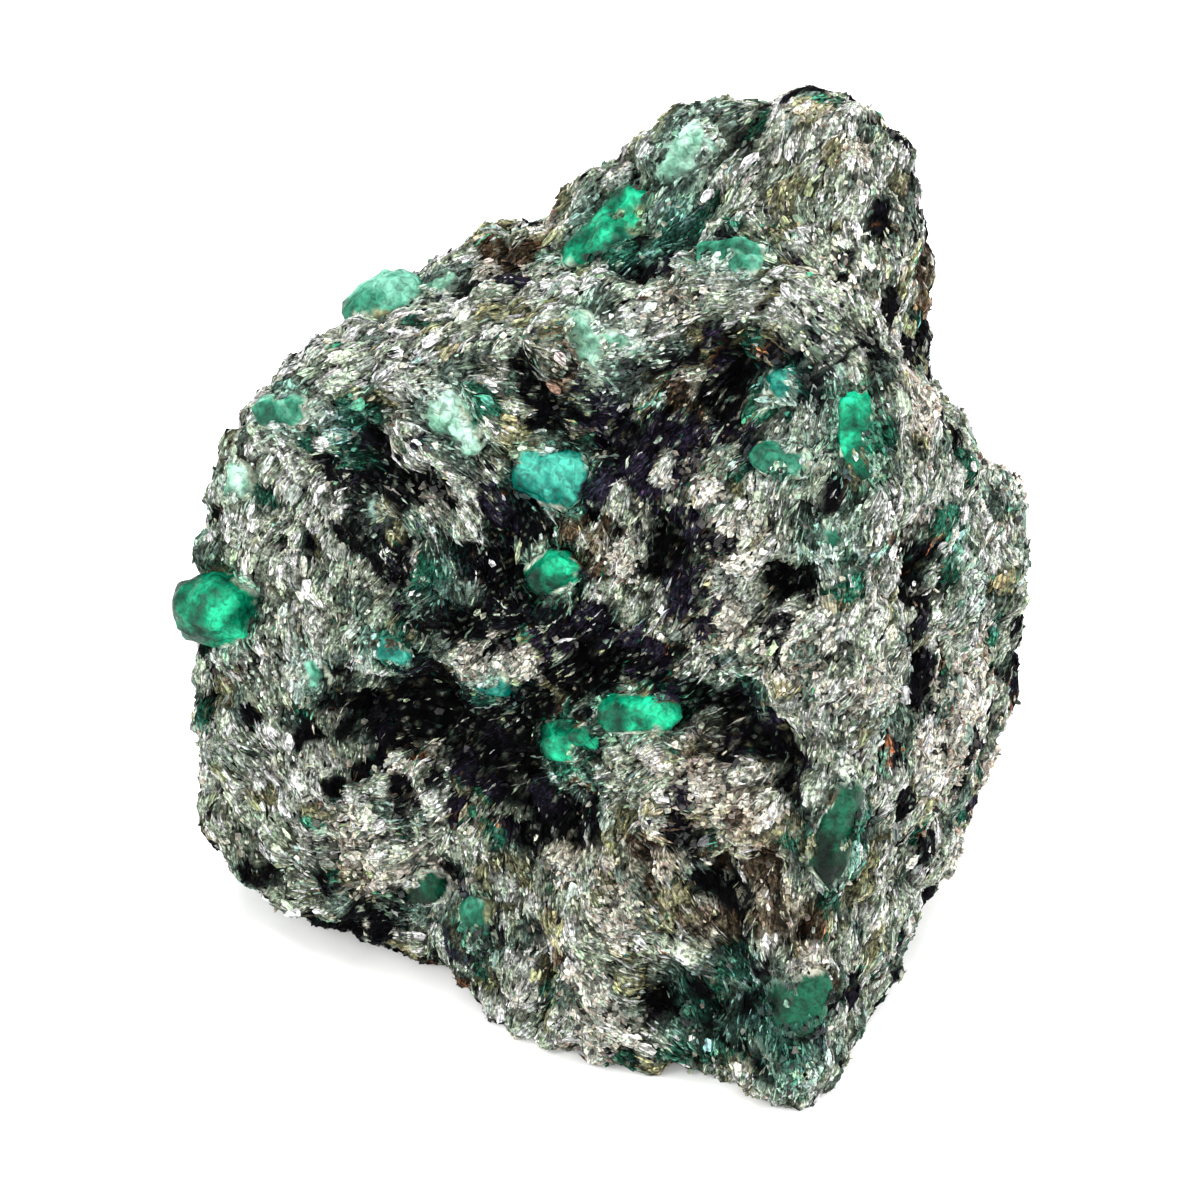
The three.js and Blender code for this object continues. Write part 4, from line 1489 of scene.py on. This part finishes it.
@dataclass
class FlakeBed:
    """A bed of flakes: flat-topped chips whose undersides come to a point inside the rock."""

    name: str
    finish: bpy.types.Material
    sides: int = 5
    length: Pair = (0.25, 0.65)
    slimness: Pair = (0.4, 0.8)
    roll: float = 30.0
    pitch: float = 18.0
    lift: float = 0.08
    roll_lift: float = 0.3
    corner_stray: float = 0.3
    corner_reach: Pair = (0.7, 1.15)
    root: float = 0.3
    root_share: float = 0.4
    painted_root_shade: float = 0.25
    chart_reach: float = 0.36

    def build(self, spots: Spots, rng: np.random.Generator) -> None:
        """Makes every flake of the bed in one mesh.

        A corner k of a flake lies at angle 2 pi k / sides on an ellipse along the mica, each a little out of
        place, and the ellipse is rolled about its long axis and pitched about its short one.

        Args:
            spots: Where the flakes lie.
            rng: Draws their sizes and tilts.
        """
        count = len(spots.places)
        length = rng.uniform(*self.length, count)
        width = length * rng.uniform(*self.slimness, count)
        roll = np.radians(self.roll) * rng.normal(size=(count, 1))
        pitch = np.radians(self.pitch) * rng.normal(size=(count, 1))
        across = np.cross(spots.normals, spots.lay)
        face = spots.normals * np.cos(roll) + across * np.sin(roll)
        side = across * np.cos(roll) - spots.normals * np.sin(roll)
        axis = spots.lay * np.cos(pitch) + face * np.sin(pitch)
        raised = self.lift * rng.random(count) + self.roll_lift * width * np.abs(np.sin(roll[:, 0]))
        middle = spots.places + spots.normals * raised[:, None]
        k = np.arange(self.sides)
        turn = 2 * math.pi * (k + self.corner_stray * rng.normal(size=(count, self.sides))) / self.sides
        reach = rng.uniform(*self.corner_reach, (count, self.sides)) / 2
        x = reach * np.cos(turn) * length[:, None]
        y = reach * np.sin(turn) * width[:, None]
        tops = middle[:, None] + x[:, :, None] * axis[:, None] + y[:, :, None] * side[:, None]
        roots = middle - spots.normals * (self.root + self.root_share * width)[:, None]
        places = np.concatenate([tops, roots[:, None]], axis=1).reshape(-1, 3)
        fan = np.stack([np.zeros(self.sides - 2, int), k[1:-1], k[2:]], axis=1)
        skirt = np.stack([np.roll(k, -1), k, np.full(self.sides, self.sides)], axis=1)
        one = np.concatenate([fan, skirt])
        faces = (one[None] + (self.sides + 1) * np.arange(count)[:, None, None]).reshape(-1, 3)
        # Painted shade: each flake's sides fade dark towards the root under its top.
        painted_shades = np.append(np.ones(self.sides), self.painted_root_shade)[None, :, None]
        ring = np.stack([np.cos(2 * math.pi * k / self.sides), np.sin(2 * math.pi * k / self.sides)], axis=1)
        ring = np.concatenate([ring, [[0.0, 0.0]]]) * self.chart_reach + CHART_MIDDLE
        chart = cell_charts(np.concatenate([ring[fan], ring[skirt] + (1, 0)]), count)
        colours = (spots.tints[:, None, :] * painted_shades).reshape(-1, 3)
        own = np.concatenate([np.stack([x, y, 0 * x], axis=2), np.zeros((count, 1, 3))], axis=1)
        grain = (spots.grain[:, None] + own).reshape(-1, 3)
        make_piece(self.name, places, faces, self.finish, colours, chart, grain)


@dataclass
class FibreBed:
    """A bed of mica fibres: slim ridges whose ends and feet are sunk in the rock."""

    name: str
    finish: bpy.types.Material
    length: Pair = (0.5, 1.7)
    width: Pair = (0.12, 0.34)
    height: Pair = (0.02, 0.15)
    sunk: float = 0.06
    droop: float = 0.06
    painted_end_shade: float = 0.7
    painted_foot_shade: float = 0.45
    painted_crest_light: float = 1.1
    chart_reach: float = 0.44

    def build(self, spots: Spots, rng: np.random.Generator) -> None:
        """Makes every fibre of the bed in one mesh: two ends, a foot on either side, and a crest on top.

        Args:
            spots: Where the fibres lie.
            rng: Draws their sizes.
        """
        count = len(spots.places)
        long = rng.uniform(*self.length, count) / 2
        wide = rng.uniform(*self.width, count) / 2
        slide, lean = rng.uniform(-0.5, 0.5, (2, count))
        tall = rng.uniform(*self.height, count)
        droop = -self.droop * (1 + long**2)
        zero = np.zeros(count)
        sunk = np.full(count, -self.sunk)
        along = np.stack([-long, long, zero, zero, slide * long], axis=1)
        across = np.stack([zero, zero, wide, -wide, lean * wide], axis=1)
        out = np.stack([droop, droop, sunk, sunk, tall], axis=1)
        own = np.stack([along, across, out], axis=2)
        axes = np.stack([spots.lay, np.cross(spots.normals, spots.lay), spots.normals], axis=1)
        places = (spots.places[:, None] + own @ axes).reshape(-1, 3)
        one = np.array([[0, 4, 2], [4, 1, 2], [4, 0, 3], [1, 4, 3], [0, 2, 3], [2, 1, 3]])
        # Painted shade at each fibre's ends and feet, and painted light on its crest.
        painted_shades = np.array([self.painted_end_shade] * 2 + [self.painted_foot_shade] * 2 + [self.painted_crest_light])[None, :, None]
        corners = np.array([[-1, 0], [1, 0], [0, 1], [0, -1], [0, 0]]) * self.chart_reach + CHART_MIDDLE
        faces = (one[None] + len(corners) * np.arange(count)[:, None, None]).reshape(-1, 3)
        chart = cell_charts(np.concatenate([corners[one[:4]], corners[one[4:]] + (1, 0)]), count)
        colours = (spots.tints[:, None, :] * painted_shades).reshape(-1, 3)
        grain = (spots.grain[:, None] + own).reshape(-1, 3)
        make_piece(self.name, places, faces, self.finish, colours, chart, grain)


@dataclass
class Specimen:
    """The whole stone: skin, flakes, fibres, pale grains and emeralds."""

    picture: Picture
    flakes: int = 16000
    fibres: int = 64000
    spread: float = 0.16
    buried: float = 0.3
    hollow_bare: float = 0.7
    pale_bare: float = 0.65
    chips: int = 9000
    stray_chips: float = 0.02
    chip_spread: float = 0.2
    chip_colour: str = "#f2ecd8"
    chip_share: float = 0.75
    plates: int = 1900
    stray_plates: float = 0.15
    plate_spread: float = 0.15
    plate_brightness: float = 0.12
    halo: float = 0.55
    halo_stain: float = 0.6
    stain_light: float = 0.25
    stain_range: Pair = (0.15, 1.2)
    overgrowth: int = 4500
    overgrowth_stray: float = 0.1
    overgrowth_spread: float = 0.25
    overgrowth_stain: float = 0.35
    overgrowth_length: Pair = (0.25, 0.8)
    crystals: list[Crystal] = field(init=False)
    finishes: dict[GrainFinish, bpy.types.Material] = field(init=False)

    def build(self) -> None:
        """Builds every piece in order."""
        rng = np.random.default_rng(SEED)
        solid = MatrixSolid(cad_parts["matrix"], self.picture)
        fabric = Fabric(solid, rng)
        self.crystals = [Crystal(node) for name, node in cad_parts.items() if name != "matrix"]
        skin = FineSkin(solid, fabric)
        skin.build(self.crystals)
        skin.dress()
        finishes = {tint: BerylFinish(tint).material() for tint in Tint}
        for crystal in self.crystals:
            crystal.build(finishes[crystal.tint], skin)
        self.cover(skin, fabric, rng)
        self.overgrow(fabric, rng)

    def stain(self, spots: Spots, most: float) -> None:
        """Tints flakes near an emerald with its colour, so that crystals fade into the rock.

        Args:
            spots: Where the flakes lie; their colours are changed.
            most: How much of the emerald's colour a flake beside it takes.
        """
        for crystal in self.crystals:
            share = most * crystal.halo(spots.places, self.halo)[:, None]
            light = np.clip(spots.tints.mean(axis=1, keepdims=True) / self.stain_light, *self.stain_range)
            spots.tints += share * (linear(crystal.tint.value[2]) * light - spots.tints)

    def lay_bed(self, bed: type, ending: str, spots: Spots, rng: np.random.Generator) -> None:
        """Lays a kind of flakes, parted in three by how dark they are.

        Args:
            bed: The kind of bed.
            ending: The last word of its pieces' names.
            spots: Where the flakes lie, already dressed.
            rng: Draws their shapes.
        """
        order = np.argsort(spots.tints.sum(axis=1), kind="stable")
        for finish, chosen in zip((BIOTITE, PHLOGOPITE, MUSCOVITE), np.array_split(order, 3)):
            bed(f"{finish.name}_{ending}", self.finishes[finish]).build(spots.pick(chosen), rng)

    def cover(self, skin: FineSkin, fabric: Fabric, rng: np.random.Generator) -> None:
        """Lays fibres, flakes, chips and plates on the skin.

        Args:
            skin: The fine skin.
            fabric: Colours and directions.
            rng: Draws the flakes.
        """
        clear = np.min([crystal.outside(skin.places) for crystal in self.crystals], axis=0)
        zones = fabric.zones(skin.places)
        weight = np.where(clear > -self.buried, 1.0, 0.0)
        # Shaded hollows keep fewer flakes, so that their painted shade shows.
        weight = weight * (1 - self.hollow_bare * zones[:, Zone.HOLLOW.value])
        self.finishes = {finish: finish.material() for finish in (BIOTITE, PHLOGOPITE, MUSCOVITE, FELDSPAR)}
        for bed, ending, count in ((FibreBed, "fibres", self.fibres), (FlakeBed, "flakes", self.flakes)):
            spots = skin.scatter(count, weight * (1 - self.pale_bare * zones[:, Zone.PALE.value]), rng)
            fabric.dress(spots, rng, self.spread)
            self.stain(spots, self.halo_stain)
            self.lay_bed(bed, ending, spots, rng)
        self.lay_chips(skin, weight * (self.stray_chips + zones[:, Zone.PALE.value]), rng)
        weight = weight * (1 - zones[:, Zone.HOLLOW.value])
        # Plates lie most where the painted sheen is.
        self.lay_plates(skin, weight * (self.stray_plates + zones[:, Zone.SHEEN.value]), rng)

    def lay_chips(self, skin: FineSkin, weight: np.ndarray, rng: np.random.Generator) -> None:
        """Lays broken chips of cream feldspar.

        Args:
            skin: The fine skin.
            weight: How many lie at each of its vertices, against the others.
            rng: Draws the chips.
        """
        spots = skin.scatter(self.chips, weight, rng)
        skin.fabric.dress(spots, rng, self.chip_spread)
        cream = self.chip_share * spots.tints.max(axis=1, keepdims=True) * linear(self.chip_colour)
        spots.tints = (1 - self.chip_share) * spots.tints + cream
        chips = FlakeBed(
            "feldspar_chips",
            self.finishes[FELDSPAR],
            length=(0.2, 0.65),
            slimness=(0.6, 1.0),
            roll=28.0,
            pitch=28.0,
            lift=0.16,
        )
        chips.build(spots, rng)

    def lay_plates(self, skin: FineSkin, weight: np.ndarray, rng: np.random.Generator) -> None:
        """Lays wide plates of white mica where the rock is bright.

        Args:
            skin: The fine skin.
            weight: How many lie at each of its vertices, against the others.
            rng: Draws the plates.
        """
        spots = skin.scatter(self.plates, weight, rng)
        skin.fabric.dress(spots, rng, self.plate_spread)
        self.stain(spots, self.halo_stain)
        bright = np.flatnonzero(spots.tints.mean(axis=1) > self.plate_brightness)
        plates = FlakeBed(
            "mica_plates",
            self.finishes[MUSCOVITE],
            sides=8,
            length=(0.6, 1.6),
            slimness=(0.35, 0.7),
            roll=12.0,
            pitch=8.0,
            lift=0.1,
        )
        plates.build(spots.pick(bright), rng)

    def overgrow(self, fabric: Fabric, rng: np.random.Generator) -> None:
        """Lays fibres and flakes over the crystals where mica covers them.

        Args:
            fabric: Colours and directions.
            rng: Draws the flakes.
        """
        places = np.concatenate([crystal.places for crystal in self.crystals])
        normals = np.concatenate([crystal.normals for crystal in self.crystals])
        share = np.concatenate([crystal.weight() for crystal in self.crystals])
        for bed, name in ((FibreBed, "overgrowth_fibres"), (FlakeBed, "overgrowth_flakes")):
            chosen = rng.choice(len(share), self.overgrowth, p=share / share.sum())
            moved = places[chosen] + rng.normal(scale=self.overgrowth_stray, size=(self.overgrowth, 3))
            spots = Spots(moved, normals[chosen], np.zeros(self.overgrowth))
            fabric.dress(spots, rng, self.overgrowth_spread)
            self.stain(spots, self.overgrowth_stain)
            bed(name, self.finishes[MUSCOVITE], length=self.overgrowth_length).build(spots, rng)


@dataclass(frozen=True)
class SoftBox:
    """A square soft box: its middle and side in millimetres, and its light in watts."""

    name: str
    place: tuple[float, float, float]
    side: float
    power: float

    def hang(self, target: tuple[float, float, float]) -> None:
        """Hangs the box so that it faces a place, in millimetres.

        Args:
            target: The place.
        """
        light = bpy.data.lights.new(self.name, "AREA")
        light.shape = "SQUARE"
        light.size = self.side * MM
        light.energy = self.power
        box = bpy.data.objects.new(self.name, light)
        box.location = Vector(self.place) * MM
        aim = Vector(target) * MM - box.location
        box.rotation_euler = aim.to_track_quat("-Z", "Y").to_euler()
        bpy.context.scene.collection.objects.link(box)


@dataclass
class Studio:
    """White paper, soft boxes and the camera of the photograph."""

    picture: Picture
    boxes: tuple[SoftBox, ...] = (
        SoftBox("top box", (0, 60, 520), 420, 3.0),
        SoftBox("right box", (440, -160, 260), 320, 3.0),
        SoftBox("left box", (-440, -160, 240), 320, 2.4),
        SoftBox("front box", (-40, -480, 300), 240, 1.3),
    )
    floor: float = 3000.0
    ambient: float = 0.9
    surroundings: str = "#ffffff"
    sensor: float = 36.0
    sight_limit: float = 10000.0

    def build(self) -> None:
        """Builds the floor, the lights, the surroundings and the camera."""
        self.lay_floor()
        for box in self.boxes:
            box.hang(self.picture.middle)
        world = bpy.data.worlds.new("studio")
        world.use_nodes = True
        background = world.node_tree.nodes["Background"].inputs
        background["Color"].default_value = opaque(self.surroundings)
        background["Strength"].default_value = self.ambient
        scene = bpy.context.scene
        scene.world = world
        scene.view_settings.view_transform = "Standard"
        self.place_camera()

    def lay_floor(self) -> None:
        """Lays a square of paper under the stone."""
        half = self.floor / 2
        corners = np.array([[-half, -half, 0], [half, -half, 0], [half, half, 0], [-half, half, 0]])
        mesh = bpy.data.meshes.new("paper")
        mesh.from_pydata((corners * MM).tolist(), [], [(0, 1, 2, 3)])
        mesh.materials.append(PaperFinish().material())
        paper = bpy.data.objects.new("paper", mesh)
        bpy.context.scene.collection.objects.link(paper)

    def place_camera(self) -> None:
        """Puts the camera at the photograph's eye; its lens takes in the picture's width at the stone."""
        camera = bpy.data.cameras.new("camera")
        camera.sensor_width = self.sensor
        camera.lens = camera.sensor_width * self.picture.distance / self.picture.width
        camera.clip_end = self.sight_limit * MM
        eye = bpy.data.objects.new("camera", camera)
        eye.location = Vector(self.picture.eye) * MM
        eye.rotation_euler = Vector(-self.picture.back).to_track_quat("-Z", "Y").to_euler()
        bpy.context.scene.collection.objects.link(eye)
        bpy.context.scene.camera = eye


def main() -> None:
    """Builds the stone and the studio."""
    logging.basicConfig(level=logging.INFO, format="%(name)s: %(message)s")
    picture = Picture()
    Specimen(picture).build()
    Studio(picture).build()
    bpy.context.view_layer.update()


if __name__ == "__main__":
    main()
